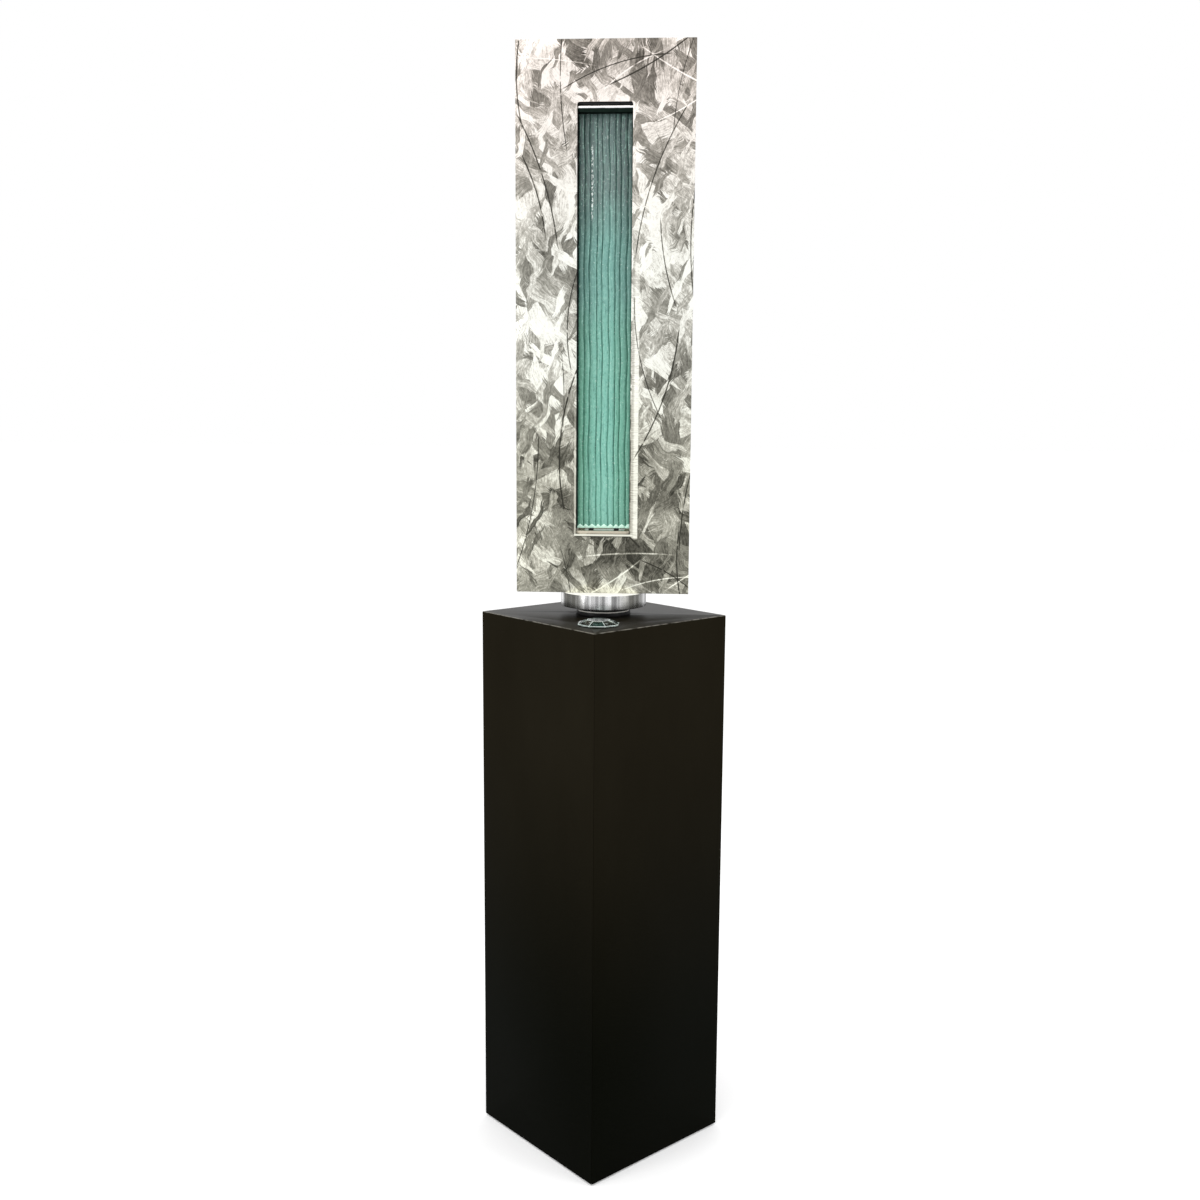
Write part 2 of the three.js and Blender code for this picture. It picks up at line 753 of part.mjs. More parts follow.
const impellerBack = chamberBack - 2;
const impellerFront = impellerBack - impellerWidth;
const hub = cylinderY(impellerHubRadius, impellerFront, impellerBack, pumpX, pumpMidZ, 24);
const blades = [];
for (let i = 0; i < impellerBlades; i += 1) {
  const blade = box(0, impellerRadius, impellerFront, impellerBack, -bladeThickness / 2, bladeThickness / 2);
  blades.push(blade.rotate([0, (360 * i) / impellerBlades, 0]).translate([pumpX, 0, pumpMidZ]));
}
const hubBore = cylinderY(impellerAxleRadius + gap, impellerFront - 1, impellerBack + 1, pumpX, pumpMidZ, 20);
piece(plinth, "impeller", cut(join(hub, ...blades), hubBore), whiteNylon);

const leadStart = [pumpX - pumpWidth / 2 + 12, pumpFront + pumpDepth - 10, pumpZ + pumpHeight + gap];
const pumpLeadPath = route(
  [pumpLane, driverFarY + gap, driverMidZ],
  [[pumpLane, cableY, driverMidZ], [pumpLane, cableY, driverMidZ + 8], [pumpLane, cableY, bendFoot]],
  [[pumpLane, cableY, tankTop - 60]],
  [
    [pumpLane, cableY, tankTop + 70],
    [leadStart[0], leadStart[1], tankTop + 70],
    [leadStart[0], leadStart[1], tankTop - 60],
  ],
  [leadStart],
);
piece(plinth, "pump_lead", along(pumpLeadPath, leadRadius, 0, 48, 4), blackRubber);

const hoseRadius = outletRadius + gap + hoseWall;
const hoseFoot = pumpZ + pumpHeight + 2;
const hoseTop = fromFountain(riserOffset[0], riserOffset[1], tubeEndZ + hoseGrip);
const hosePath = route(
  [pumpX, outletY, hoseFoot],
  [[pumpX, outletY, hoseFoot + hoseGrip + 6]],
  [
    [pumpX + 40, outletY - 25, hoseFoot + 130],
    [hoseTop[0], hoseTop[1], tubeEndZ - 110],
    [hoseTop[0], hoseTop[1], tubeEndZ - 8],
  ],
  [hoseTop],
);
piece(plinth, "supply_hose", along(hosePath, hoseRadius, outletRadius + gap, 40), clearHose);

// ---------- Turntable ----------

const spindleBore = spindleRadius + gap;
piece(plinth, "turntable_lower_ring", ring(turntableRadius, spindleBore, lowerRingZ, lowerRingZ + lowerRingHeight), blackSteel);
piece(
  plinth,
  "slip_washer",
  ring(turntableRadius - 2, spindleBore, slipWasherZ, slipWasherZ + slipWasherHeight),
  whiteNylon,
);
piece(
  plinth,
  "thrust_washer",
  ring(turntableRadius - 10, spindleBore, thrustWasherZ, thrustWasherZ + thrustWasherHeight),
  whiteNylon,
);
piece(head, "turntable_upper_ring", ring(turntableRadius, spindleBore, upperRingZ, upperRingZ + upperRingHeight), blackSteel);

const discTop = baseDiscZ + baseDiscHeight;
const disc = turned(
  [
    [spindleBore, baseDiscZ],
    [baseDiscRadius - baseDiscChamfer, baseDiscZ],
    [baseDiscRadius, baseDiscZ + baseDiscChamfer],
    [baseDiscRadius, discTop - baseDiscChamfer],
    [baseDiscRadius - baseDiscChamfer, discTop],
    [spindleBore, discTop],
    [spindleBore, baseDiscZ],
  ],
  72,
);
piece(head, "base_disc", disc, turnedAluminium);

const spindleFoot = nutZ - 6;
const spindle = turned([
  [spindleInner, spindleFoot],
  [spindleRadius, spindleFoot],
  [spindleRadius, spindleFlangeZ],
  [spindleFlangeRadius, spindleFlangeZ],
  [spindleFlangeRadius, spindleFlangeZ + spindleFlangeHeight],
  [spindleInner, spindleFlangeZ + spindleFlangeHeight],
  [spindleInner, spindleFoot],
]);
piece(head, "spindle", spindle, zincSteel);

const nutBlank = cylinder(nutAcrossFlats / 2 / Math.cos(Math.PI / 6), nutZ, nutZ + nutHeight, 6);
const nutBore = cylinder(spindleBore, nutZ - 1, nutZ + nutHeight + 1);
piece(head, "spindle_nut", cut(nutBlank, nutBore), zincSteel);

// ---------- Head: panels, band, floor plate, slot liner ----------

// The slot has small round corners. It is cut through front and back alike.
function slotCutter() {
  const w = slotWidth / 2;
  const r = slotCornerRadius;
  const outline = new THREE.Shape();
  outline.moveTo(-w + r, slotZ);
  outline.lineTo(w - r, slotZ);
  outline.absarc(w - r, slotZ + r, r, -Math.PI / 2, 0, false);
  outline.lineTo(w, slotTop - r);
  outline.absarc(w - r, slotTop - r, r, 0, Math.PI / 2, false);
  outline.lineTo(-w + r, slotTop);
  outline.absarc(-w + r, slotTop - r, r, Math.PI / 2, Math.PI, false);
  outline.lineTo(-w, slotZ + r);
  outline.absarc(-w + r, slotZ + r, r, Math.PI, Math.PI * 1.5, false);
  const depth = headDepth + 20;
  const shape = new THREE.ExtrudeGeometry(outline, { depth, bevelEnabled: false, curveSegments: 5 });
  shape.rotateX(Math.PI / 2);
  shape.translate(0, depth / 2, 0);
  return solid(shape);
}

const panelHalf = headWidth / 2;
const screwSpots = [[-1, 0], [1, 0], [-1, 1], [1, 1]].map(([side, up]) => [
  side * (panelHalf - screwInset),
  up ? headTop - screwInset : headZ + screwInset + lugSize,
]);
const screwHoles = screwSpots.map(([x, z]) =>
  cylinderY(screwRadius + screwClearance, 0, headDepth, x, z, 20),
);
const frontPlate = box(-panelHalf, panelHalf, headFront, headFront + plateThickness, headZ, headTop);
const backPlate = box(-panelHalf, panelHalf, -headFront - plateThickness, -headFront, headZ, headTop);
piece(head, "front_panel", cut(frontPlate, slotCutter()), groundAluminium);
piece(head, "back_panel", cut(backPlate, slotCutter(), ...screwHoles), groundAluminium);

// The band is one strip bent round the left side, the top and the right side, with a lug for each cover screw.
const bandInner = panelHalf - plateThickness;
const bandOuter = box(-panelHalf, panelHalf, -plateInside, plateInside, headZ, headTop);
const bandInside = box(
  -bandInner,
  bandInner,
  -plateInside - 1,
  plateInside + 1,
  headZ - 1,
  headTop - plateThickness,
);
const lugs = screwSpots.map(([x, z]) => {
  const side = Math.sign(x);
  const x0 = Math.min(side * (bandInner + 1), x - (side * lugSize) / 2);
  const x1 = Math.max(side * (bandInner + 1), x - (side * lugSize) / 2);
  const top = Math.min(z + lugSize / 2, headTop - 1);
  return box(x0, x1, plateInside - lugThickness, plateInside, z - lugSize / 2, top);
});
piece(head, "wrap_band", cut(join(cut(bandOuter, bandInside), ...lugs), ...screwHoles), foldedAluminium);

const floorReach = bandInner - gap;
const floorPlate = box(-floorReach, floorReach, -plateInside, plateInside, headZ, headZ + plateThickness);
const floorBore = cylinder(spindleBore, headZ - 1, headZ + plateThickness + 1);
piece(head, "bottom_cap", cut(floorPlate, floorBore), foldedAluminium);

screwSpots.forEach(([x, z], i) => {
  const headY = -headFront + gap;
  const shank = cylinderY(screwRadius, plateInside - lugThickness - 3, headY + 1, x, z, 20);
  const button = turned(
    [
      [0, 0],
      [screwHeadRadius, 0],
      [screwHeadRadius * 0.9, screwHeadHeight * 0.6],
      [screwHeadRadius * 0.6, screwHeadHeight],
      [0, screwHeadHeight],
    ],
    24,
  );
  const drive = cylinder(screwRadius * 0.75, screwHeadHeight * 0.4, screwHeadHeight + 1, 6);
  const capped = cut(button, drive).rotate([-90, 0, 0]).translate([x, headY, z]);
  piece(head, `cover_screw_${i + 1}`, join(capped, shank), zincSteel);
});

const linerOuter = box(
  -linerHalf - linerThickness,
  linerHalf + linerThickness,
  -plateInside,
  plateInside,
  troughZ,
  linerTop + linerThickness,
);
const linerInside = box(-linerHalf, linerHalf, -plateInside - 1, plateInside + 1, troughZ - 1, linerTop);
const spreaderHole = cylinderX(spreaderRadius + gap, linerHalf - 1, spreaderEnd, spreaderY, spreaderZ, 32);
piece(head, "slot_liner", cut(cut(linerOuter, linerInside), spreaderHole), foldedAluminium);

// ---------- Glass, seals, setting blocks ----------

// The front of the glass is a row of round ribs, the back is flat.
const ribPitch = slotWidth / ribCount;
const glassOutline = [[slotWidth / 2, glassBack], [-slotWidth / 2, glassBack]];
const ribSteps = 8;
const ribArcRadius = (ribPitch * ribPitch) / 4 / (2 * ribDepth) + ribDepth / 2;
for (let rib = 0; rib < ribCount; rib += 1) {
  const middle = -slotWidth / 2 + ribPitch * (rib + 0.5);
  for (let i = rib === 0 ? 0 : 1; i <= ribSteps; i += 1) {
    const x = ribPitch * (i / ribSteps - 0.5);
    const rise = Math.sqrt(ribArcRadius * ribArcRadius - x * x) - (ribArcRadius - ribDepth);
    glassOutline.push([middle + x, glassFront + ribDepth - rise]);
  }
}
const glass = prism(glassOutline, glassTopZ - glassZ).translate([0, 0, glassZ]);
piece(head, "glass_panel", glass, reededGlass);

const sealInner = slotWidth / 2 + gap;
const sealOuter = linerHalf - gap;
for (const [side, name] of [[-1, "glass_seal_left"], [1, "glass_seal_right"]]) {
  const x0 = Math.min(side * sealInner, side * sealOuter);
  const x1 = Math.max(side * sealInner, side * sealOuter);
  piece(head, name, box(x0, x1, glassFront + ribDepth, glassBack, glassZ, glassTopZ), blackRubber);
}
for (const [side, name] of [[-1, "setting_block_left"], [1, "setting_block_right"]]) {
  const x = (side * settingBlockSpacing) / 2;
  const block = box(
    x - settingBlockWidth / 2,
    x + settingBlockWidth / 2,
    glassFront,
    glassBack,
    troughFloorZ + gap,
    glassZ - gap,
  );
  piece(head, name, block, blackRubber);
}

// ---------- Trough, drain, spreader, riser, light ----------

const troughHalf = linerHalf - gap;
const troughOuter = box(-troughHalf, troughHalf, -plateInside, plateInside, troughZ, lipZ);
const troughInside = box(
  -troughHalf + troughWall,
  troughHalf - troughWall,
  -plateInside + troughWall,
  plateInside - troughWall,
  troughFloorZ,
  lipZ + 1,
);
const lightBarY = headFront + lightBarSetback;
const glandY = lightBarY + lightBarDepth / 2;
const drainHole = cylinder(drainRadius + gap, troughZ - 1, troughFloorZ + 1, 32).translate([...drainOffset, 0]);
const glandHole = cylinder(leadRadius + gap, troughZ - 1, troughFloorZ + 1, 20).translate([lightGlandX, glandY, 0]);
piece(head, "catch_trough", cut(troughOuter, troughInside, drainHole, glandHole), foldedAluminium);

const drainFoot = tankTop + 20;
const drain = ring(drainRadius, drainRadius - drainWall, drainFoot, troughFloorZ, 32);
piece(head, "drain_tube", drain.translate([...drainOffset, 0]), clearHose);

// The spreader is closed and rounded at its left end and open at its right end, with a long slit facing the glass.
const spreaderLeft = -linerHalf + gap;
const spreaderBore = spreaderRadius - spreaderWall;
const spreaderProfile = [[0, spreaderLeft]];
for (let i = 1; i <= 5; i += 1) {
  const a = (Math.PI / 2) * (i / 5);
  spreaderProfile.push([Math.sin(a) * spreaderRadius, spreaderLeft + (1 - Math.cos(a)) * spreaderRadius * 0.5]);
}
spreaderProfile.push(
  [spreaderRadius, spreaderEnd],
  [spreaderBore, spreaderEnd],
  [spreaderBore, spreaderLeft + spreaderRadius],
  [0, spreaderLeft + spreaderRadius],
);
const slitHalf = slotWidth / 2 - spreaderRadius;
const slit = box(-slitHalf, slitHalf, 0, spreaderRadius + 1, -slitWidth / 2, slitWidth / 2)
  .rotate([-30, 0, 0])
  .translate([0, spreaderY, spreaderZ]);
const spreaderTube = turned(spreaderProfile, 32).rotate([0, 90, 0]).translate([0, spreaderY, spreaderZ]);
piece(head, "spreader_tube", cut(spreaderTube, slit), chrome);

const riserStart = spindleFlangeZ + spindleFlangeHeight + 6;
const riserTurn = troughZ - 12;
const elbow = riserLane - spreaderReach - 3;
const riserPath = route(
  [...riserOffset, tubeEndZ],
  [[...riserOffset, riserStart]],
  [[...riserOffset, riserStart + 30], [riserX, spreaderY, riserTurn - 45], [riserX, spreaderY, riserTurn]],
  [[riserX, spreaderY, spreaderZ - elbow]],
  [
    [riserX, spreaderY, spreaderZ - elbow * 0.45],
    [riserX - elbow * 0.55, spreaderY, spreaderZ],
    [riserX - elbow, spreaderY, spreaderZ],
  ],
  [[spreaderEnd - spreaderReach + 3, spreaderY, spreaderZ]],
);
piece(head, "riser_tube", along(riserPath, riserRadius, riserRadius - riserWall, 80), clearHose);

const lightBar = box(
  -lightBarLength / 2,
  lightBarLength / 2,
  lightBarY,
  lightBarY + lightBarDepth,
  troughFloorZ + gap,
  troughFloorZ + gap + lightBarHeight,
);
piece(head, "light_bar", lightBar, paleAcrylic);
const lightPath = route(
  [...leadOffset, tubeEndZ],
  [[...leadOffset, riserStart]],
  [[...leadOffset, riserStart + 35], [lightGlandX, glandY, troughZ - 40], [lightGlandX, glandY, troughZ - 8]],
  [[lightGlandX, glandY, troughFloorZ]],
);
piece(head, "light_lead", along(lightPath, leadRadius, 0, 36, 4), blackRubber);

// ---------- Glass stopper of the filling port ----------

// A faceted dome: a flat base, an upright girdle, two rings of facets and an eight-sided table.
const jewelZ = plinthHeight + gap;
const jewelPoints = [];
const jewelRings = [
  [jewelRadius * 0.94, 0, 2, 0],
  [jewelRadius, jewelHeight * 0.2, 2, 0],
  [jewelRadius, jewelHeight * 0.34, 2, 0],
  [(jewelRadius + jewelTableRadius) / 1.93, jewelHeight * 0.72, 1, 0.5],
  [jewelTableRadius, jewelHeight, 1, 0],
];
for (const [radius, rise, density, turn] of jewelRings) {
  const count = jewelFacets * density;
  for (let i = 0; i < count; i += 1) {
    const a = ((i + turn) / count) * Math.PI * 2;
    jewelPoints.push(new THREE.Vector3(radius * Math.cos(a), radius * Math.sin(a), rise));
  }
}
const jewel = solid(new ConvexGeometry(jewelPoints));
piece(head, "glass_jewel", jewel.translate([0, -fillDistance, jewelZ]), clearGlass);
const plugRadius = fillHoleRadius - gap;
const plug = turned(
  [[0, plinthHeight - plugLength], [plugRadius - plugTaper, plinthHeight - plugLength], [plugRadius, plinthHeight - 2],
    [plugRadius, plinthHeight], [0, plinthHeight]],
  40,
);
piece(head, "stopper_plug", plug.translate([0, -fillDistance, 0]), blackRubber);

export default fountain;
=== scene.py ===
# %% [markdown]
# # A water wall fountain on its plinth
#
# The fountain comes from the workshop as named solids in metres, with the floor at z = 0 and the front towards
# -Y. This script keeps those solids where they are and gives them their real surfaces: ground aluminium, rippled
# glass, turned and polished metal, and satin black lacquer. Six pieces whose shape matters most up close (the
# glass, the turned disc, the turntable's two rings, the spreader tube and the cut stopper) are built again here
# with finer detail, and two soft ones are smoothed and made to twist.

# %% Load the workshop model
import json
import math
import random

import bmesh
import bpy
from mathutils import Matrix, Vector, noise
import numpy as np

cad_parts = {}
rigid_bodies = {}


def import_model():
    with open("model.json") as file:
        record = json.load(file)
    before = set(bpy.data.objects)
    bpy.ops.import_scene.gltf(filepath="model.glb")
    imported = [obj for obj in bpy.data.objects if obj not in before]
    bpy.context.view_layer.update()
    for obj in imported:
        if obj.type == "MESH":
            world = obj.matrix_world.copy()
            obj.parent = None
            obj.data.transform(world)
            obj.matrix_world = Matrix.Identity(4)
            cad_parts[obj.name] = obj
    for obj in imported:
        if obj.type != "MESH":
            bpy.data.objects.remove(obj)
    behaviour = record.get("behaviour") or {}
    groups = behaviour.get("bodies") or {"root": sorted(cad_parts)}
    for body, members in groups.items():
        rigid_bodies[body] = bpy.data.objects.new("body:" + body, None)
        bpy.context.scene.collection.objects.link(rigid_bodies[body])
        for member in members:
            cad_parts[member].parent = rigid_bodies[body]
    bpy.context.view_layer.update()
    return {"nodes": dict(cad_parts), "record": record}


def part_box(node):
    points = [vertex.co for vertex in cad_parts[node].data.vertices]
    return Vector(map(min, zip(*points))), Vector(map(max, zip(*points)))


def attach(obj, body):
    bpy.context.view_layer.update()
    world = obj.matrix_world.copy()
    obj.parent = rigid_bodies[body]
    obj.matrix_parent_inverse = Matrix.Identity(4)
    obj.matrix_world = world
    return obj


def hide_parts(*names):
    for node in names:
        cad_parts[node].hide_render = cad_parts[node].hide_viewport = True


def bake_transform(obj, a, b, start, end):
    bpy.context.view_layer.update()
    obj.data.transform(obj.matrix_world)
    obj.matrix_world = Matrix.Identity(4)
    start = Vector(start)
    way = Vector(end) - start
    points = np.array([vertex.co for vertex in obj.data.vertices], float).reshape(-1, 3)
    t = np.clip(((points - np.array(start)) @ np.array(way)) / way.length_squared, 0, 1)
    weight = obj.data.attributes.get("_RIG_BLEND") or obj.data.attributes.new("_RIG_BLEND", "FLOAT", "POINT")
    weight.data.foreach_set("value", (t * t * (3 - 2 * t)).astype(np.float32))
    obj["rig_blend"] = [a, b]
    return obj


for leftover in list(bpy.data.objects):
    bpy.data.objects.remove(leftover, do_unlink=True)

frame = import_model()
nodes = frame["nodes"]

# %% [markdown]
# ## Sizes read from the model
#
# A piece made here has to sit exactly where the workshop's solid sits, so its sizes are read from the solids'
# boxes. Only what a box can't tell, such as how many ribs the glass has, is a number of its own.

# %% Read the boxes
def span(node, axis):
    """Lowest and highest value of a model node along one axis, in metres."""
    low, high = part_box(node)
    return low[axis], high[axis]


X, Y, Z = 0, 1, 2
MM = 0.001
GLASS_X, GLASS_Y, GLASS_Z = (span("glass_panel", axis) for axis in (X, Y, Z))
PANEL_X, PANEL_Z = span("front_panel", X), span("front_panel", Z)
PLINTH_TOP = span("plinth_top", Z)[1]
PLINTH_REACH = span("plinth_top", X)[1]
DISC_TOP = span("base_disc", Z)[1]
TROUGH_LIP = 5 * MM
SLOT_SILL = span("catch_trough", Z)[1] - TROUGH_LIP
RIBS = 9
print("glass (mm):", [round((high - low) / MM, 1) for low, high in (GLASS_X, GLASS_Y, GLASS_Z)])

# %% [markdown]
# ## A small language for finishes
#
# A finish is a graph of shader nodes. Typed out node by node it hides its own idea, so a small class wraps an
# output socket and lets plain arithmetic build the Math nodes: `1 - worn * 0.4` reads like the thought behind it.
# Colours and vectors have their own calls, because a Math node would turn them into one grey number.

# %% The wire and the finish
def arithmetic(operation):
    """An operator between a wire and a wire or number, as a Math node."""
    return lambda wire, other: wire.math(operation, other)


class Wire:
    """One output socket of a finish's graph, or anything computed from it."""

    def __init__(self, finish, socket):
        self.finish = finish
        self.socket = socket

    def math(self, operation, *others, clamp=False):
        values = dict(enumerate((self, *others)))
        return self.finish.node("ShaderNodeMath", values, operation=operation, use_clamp=clamp)

    __add__ = __radd__ = arithmetic("ADD")
    __sub__ = arithmetic("SUBTRACT")
    __mul__ = __rmul__ = arithmetic("MULTIPLY")
    __truediv__ = arithmetic("DIVIDE")
    __pow__ = arithmetic("POWER")

    def __rsub__(self, other):
        return self.finish.node("ShaderNodeMath", {0: other, 1: self}, operation="SUBTRACT")

    def __abs__(self):
        return self.math("ABSOLUTE")

    def clamped(self):
        return self.math("ADD", 0.0, clamp=True)

    def rise(self, low, high):
        """0 below low, 1 above high, and a smooth slope between. With low above high the slope falls."""
        (start, first), (end, last) = sorted([(low, 0.0), (high, 1.0)])
        values = {"Value": self, "From Min": start, "From Max": end, "To Min": first, "To Max": last}
        return self.finish.node("ShaderNodeMapRange", values, interpolation_type="SMOOTHSTEP")

    def part(self, axis):
        """One number out of a vector."""
        return self.finish.node("ShaderNodeSeparateXYZ", {"Vector": self}, axis)


class Finish:
    """A material built on one Principled shader, with calls that add nodes to its graph."""

    def __init__(self, name, **constants):
        self.material = bpy.data.materials.new(name)
        self.material.use_nodes = True
        self.tree = self.material.node_tree
        self.shader = self.tree.nodes["Principled BSDF"]
        for socket, value in constants.items():
            self.shader.inputs[socket.replace("_", " ")].default_value = value

    def node(self, kind, values, out=0, **settings):
        """Any node: its type, the values or wires of its sockets, and its settings. Gives back one output."""
        made = self.tree.nodes.new(kind)
        for key, value in settings.items():
            setattr(made, key, value)
        for key, value in values.items():
            self.feed(made.inputs[key], value)
        return Wire(self, made.outputs[out])

    def feed(self, socket, value):
        if isinstance(value, Wire):
            self.tree.links.new(value.socket, socket)
        else:
            socket.default_value = value

    def drive(self, **wires):
        """Connects wires to the shader, as in drive(Base_Color=..., Roughness=...). Gives back the material."""
        for socket, wire in wires.items():
            self.feed(self.shader.inputs[socket.replace("_", " ")], wire)
        return self.material

    def vector(self, x, y, z):
        return self.node("ShaderNodeCombineXYZ", {"X": x, "Y": y, "Z": z})

    def vmath(self, operation, *vectors, out=0):
        return self.node("ShaderNodeVectorMath", dict(enumerate(vectors)), out, operation=operation)

    def scaled(self, vector, factor):
        """A vector times one number or a triple of numbers."""
        triple = factor if isinstance(factor, tuple) else (factor,) * 3
        return self.vmath("MULTIPLY", vector, triple)

    def cloud(self, vector, scale, detail=2.0, rough=0.5, twist=0.0):
        """Soft noise between 0 and 1. Scale counts blotches in a metre."""
        values = {"Vector": vector, "Scale": scale, "Detail": detail, "Roughness": rough, "Distortion": twist}
        return self.node("ShaderNodeTexNoise", values)

    def cloud_vector(self, vector, scale):
        return self.node("ShaderNodeTexNoise", {"Vector": vector, "Scale": scale, "Detail": 2.0}, out=1)

    def line_noise(self, position, scale, detail=2.0, rough=0.6):
        """Noise along one number, for streaks."""
        values = {"W": position, "Scale": scale, "Detail": detail, "Roughness": rough}
        return self.node("ShaderNodeTexNoise", values, noise_dimensions="1D")

    def stretched(self, vector, counts, scale=1.0, **kind):
        """Noise whose blotches in a metre are counted along each axis apart."""
        return self.cloud(self.scaled(vector, counts), scale, **kind)

    def dot(self, first, second):
        return self.vmath("DOT_PRODUCT", first, second, out="Value")

    def length(self, vector):
        return self.vmath("LENGTH", vector, out="Value")

    def channel(self, color, index):
        return self.node("ShaderNodeSeparateColor", {"Color": color}, index)

    def ramp(self, factor, stops):
        """A colour for each value from 0 to 1, given as (value, colour) stops."""
        color = self.node("ShaderNodeValToRGB", {"Fac": factor})
        elements = color.socket.node.color_ramp.elements
        while len(elements) < len(stops):
            elements.new(1.0)
        for element, stop in zip(elements, stops):
            element.position, element.color = stop
        return color

    def blend(self, factor, first, second, mode="MIX"):
        """Mixes two colours."""
        values = {0: factor, 6: first, 7: second}
        return self.node("ShaderNodeMix", values, 2, data_type="RGBA", blend_type=mode, clamp_factor=True)

    def between(self, factor, first, second):
        """Mixes two numbers."""
        return self.node("ShaderNodeMix", {0: factor, 2: first, 3: second}, data_type="FLOAT")

    def bumped(self, height, depth, strength=1.0):
        """A surface normal from a height between 0 and 1, depth being the real height in metres."""
        return self.node("ShaderNodeBump", {"Height": height, "Distance": depth, "Strength": strength})


def begin(name, **constants):
    """A new finish, and where a point lies at rest, in metres in the frame of its own body."""
    finish = Finish(name, **constants)
    return finish, finish.node("ShaderNodeTexCoord", {}, "Object")


def shade(red, green, blue, alpha=1.0):
    """A colour named by its three screen values from 0 to 255, as the linear values the shader wants."""
    def linear(value):
        value = value / 255
        return value / 12.92 if value <= 0.04045 else ((value + 0.055) / 1.055) ** 2.4

    return (linear(red), linear(green), linear(blue), alpha)


def grey(value):
    return shade(value, value, value)


print("mid grey in linear light:", round(grey(128)[0], 3))

# %% [markdown]
# ## Camera
#
# The fountain is seen from chest height, a little over two metres away, looking slightly down. The camera stands
# a touch to the right of the middle, so the plinth's left face looks a little wider than its right one.

# %% Place the camera
CAMERA_PLACE = Vector((0.1462, -2.2803, 1.3213))
CAMERA_TURN, CAMERA_DIP, CAMERA_ROLL = -0.0667, 0.1468, 0.0063
FRAME_WIDTH = 1200
FOCAL = 1309.3


def new_object(name, data):
    made = bpy.data.objects.new(name, data)
    bpy.context.collection.objects.link(made)
    return made


def aim_camera():
    data = bpy.data.cameras.new("front_view")
    data.sensor_width = 36.0
    data.lens = FOCAL / FRAME_WIDTH * data.sensor_width
    data.clip_end = 100.0
    camera = new_object("front_view", data)
    ahead = Vector((
        math.sin(CAMERA_TURN) * math.cos(CAMERA_DIP),
        math.cos(CAMERA_TURN) * math.cos(CAMERA_DIP),
        -math.sin(CAMERA_DIP),
    ))
    side = Vector((math.cos(CAMERA_TURN), -math.sin(CAMERA_TURN), 0.0))
    above = side.cross(ahead)
    c, s = math.cos(CAMERA_ROLL), math.sin(CAMERA_ROLL)
    side, above = side * c + above * s, above * c - side * s
    turn = Matrix((side, above, -ahead)).transposed().to_4x4()
    camera.matrix_world = Matrix.Translation(CAMERA_PLACE) @ turn
    bpy.context.scene.camera = camera
    return camera


camera = aim_camera()
print("lens (mm):", round(camera.data.lens, 2))

# %% [markdown]
# ## Room and light
#
# Polished and ground metal show mostly what stands round them. A pale floor and a pale room keep the metal
# bright, two tall soft panels at the sides draw long highlights down the turned disc and the ribs of the glass,
# and one large panel overhead lights the plinth's top.

# %% Floor, room and lamps
scene = bpy.context.scene
scene.view_settings.view_transform = "Standard"


def make_room():
    world = bpy.data.worlds.new("pale_room")
    world.use_nodes = True
    background = world.node_tree.nodes["Background"].inputs
    background["Color"].default_value = (1.0, 1.0, 1.0, 1.0)
    background["Strength"].default_value = 1.0
    scene.world = world


def make_floor():
    mesh = bpy.data.meshes.new("studio_floor")
    reach = 40.0
    corners = [(-reach, -reach, 0), (reach, -reach, 0), (reach, reach, 0), (-reach, reach, 0)]
    mesh.from_pydata(corners, [], [(0, 1, 2, 3)])
    floor = new_object("studio_floor", mesh)
    finish, place = begin("pale_floor", Roughness=0.9, Specular_IOR_Level=0.0)
    finish.shader.inputs["Emission Color"].default_value = (1.0, 1.0, 1.0, 1.0)
    finish.shader.inputs["Emission Strength"].default_value = 0.14
    speckle = finish.cloud(place, 3.0, detail=4.0)
    mesh.materials.append(finish.drive(Base_Color=finish.blend(speckle, grey(246), grey(250))))


def lamp(name, place, target, width, height, power):
    data = bpy.data.lights.new(name, "AREA")
    data.shape = "RECTANGLE"
    data.size, data.size_y = width, height
    data.energy = power
    light = new_object(name, data)
    direction = Vector(target) - Vector(place)
    light.location = place
    light.rotation_euler = direction.to_track_quat("-Z", "Y").to_euler()


make_room()
make_floor()
lamp("overhead", (0.0, -0.6, 3.6), (0.0, 0.0, 1.0), 2.6, 2.0, 32)
lamp("left_panel", (-2.6, -2.0, 1.9), (0.0, 0.0, 1.3), 0.7, 2.6, 26)
lamp("right_panel", (2.8, -1.4, 1.8), (0.0, 0.0, 1.2), 0.6, 2.6, 14)
print("lamps:", len(bpy.data.lights))

# %% [markdown]
# ## Ground aluminium
#
# The head's panels were worked over by hand with a small disc grinder. Each sweep of the disc leaves a band of
# nearly parallel scratches with ragged ends, and because metal mirrors along its scratches, each sweep has its
# own brightness. Long strokes of the disc's edge lie on top as thin arcs. A rule that repeats the maker's gesture
# stays sharp at any distance. So one layer stands for all the sweeps in one direction: its cells are long and
# narrow, a noise across them frays their ends, and several such layers lie over each other.

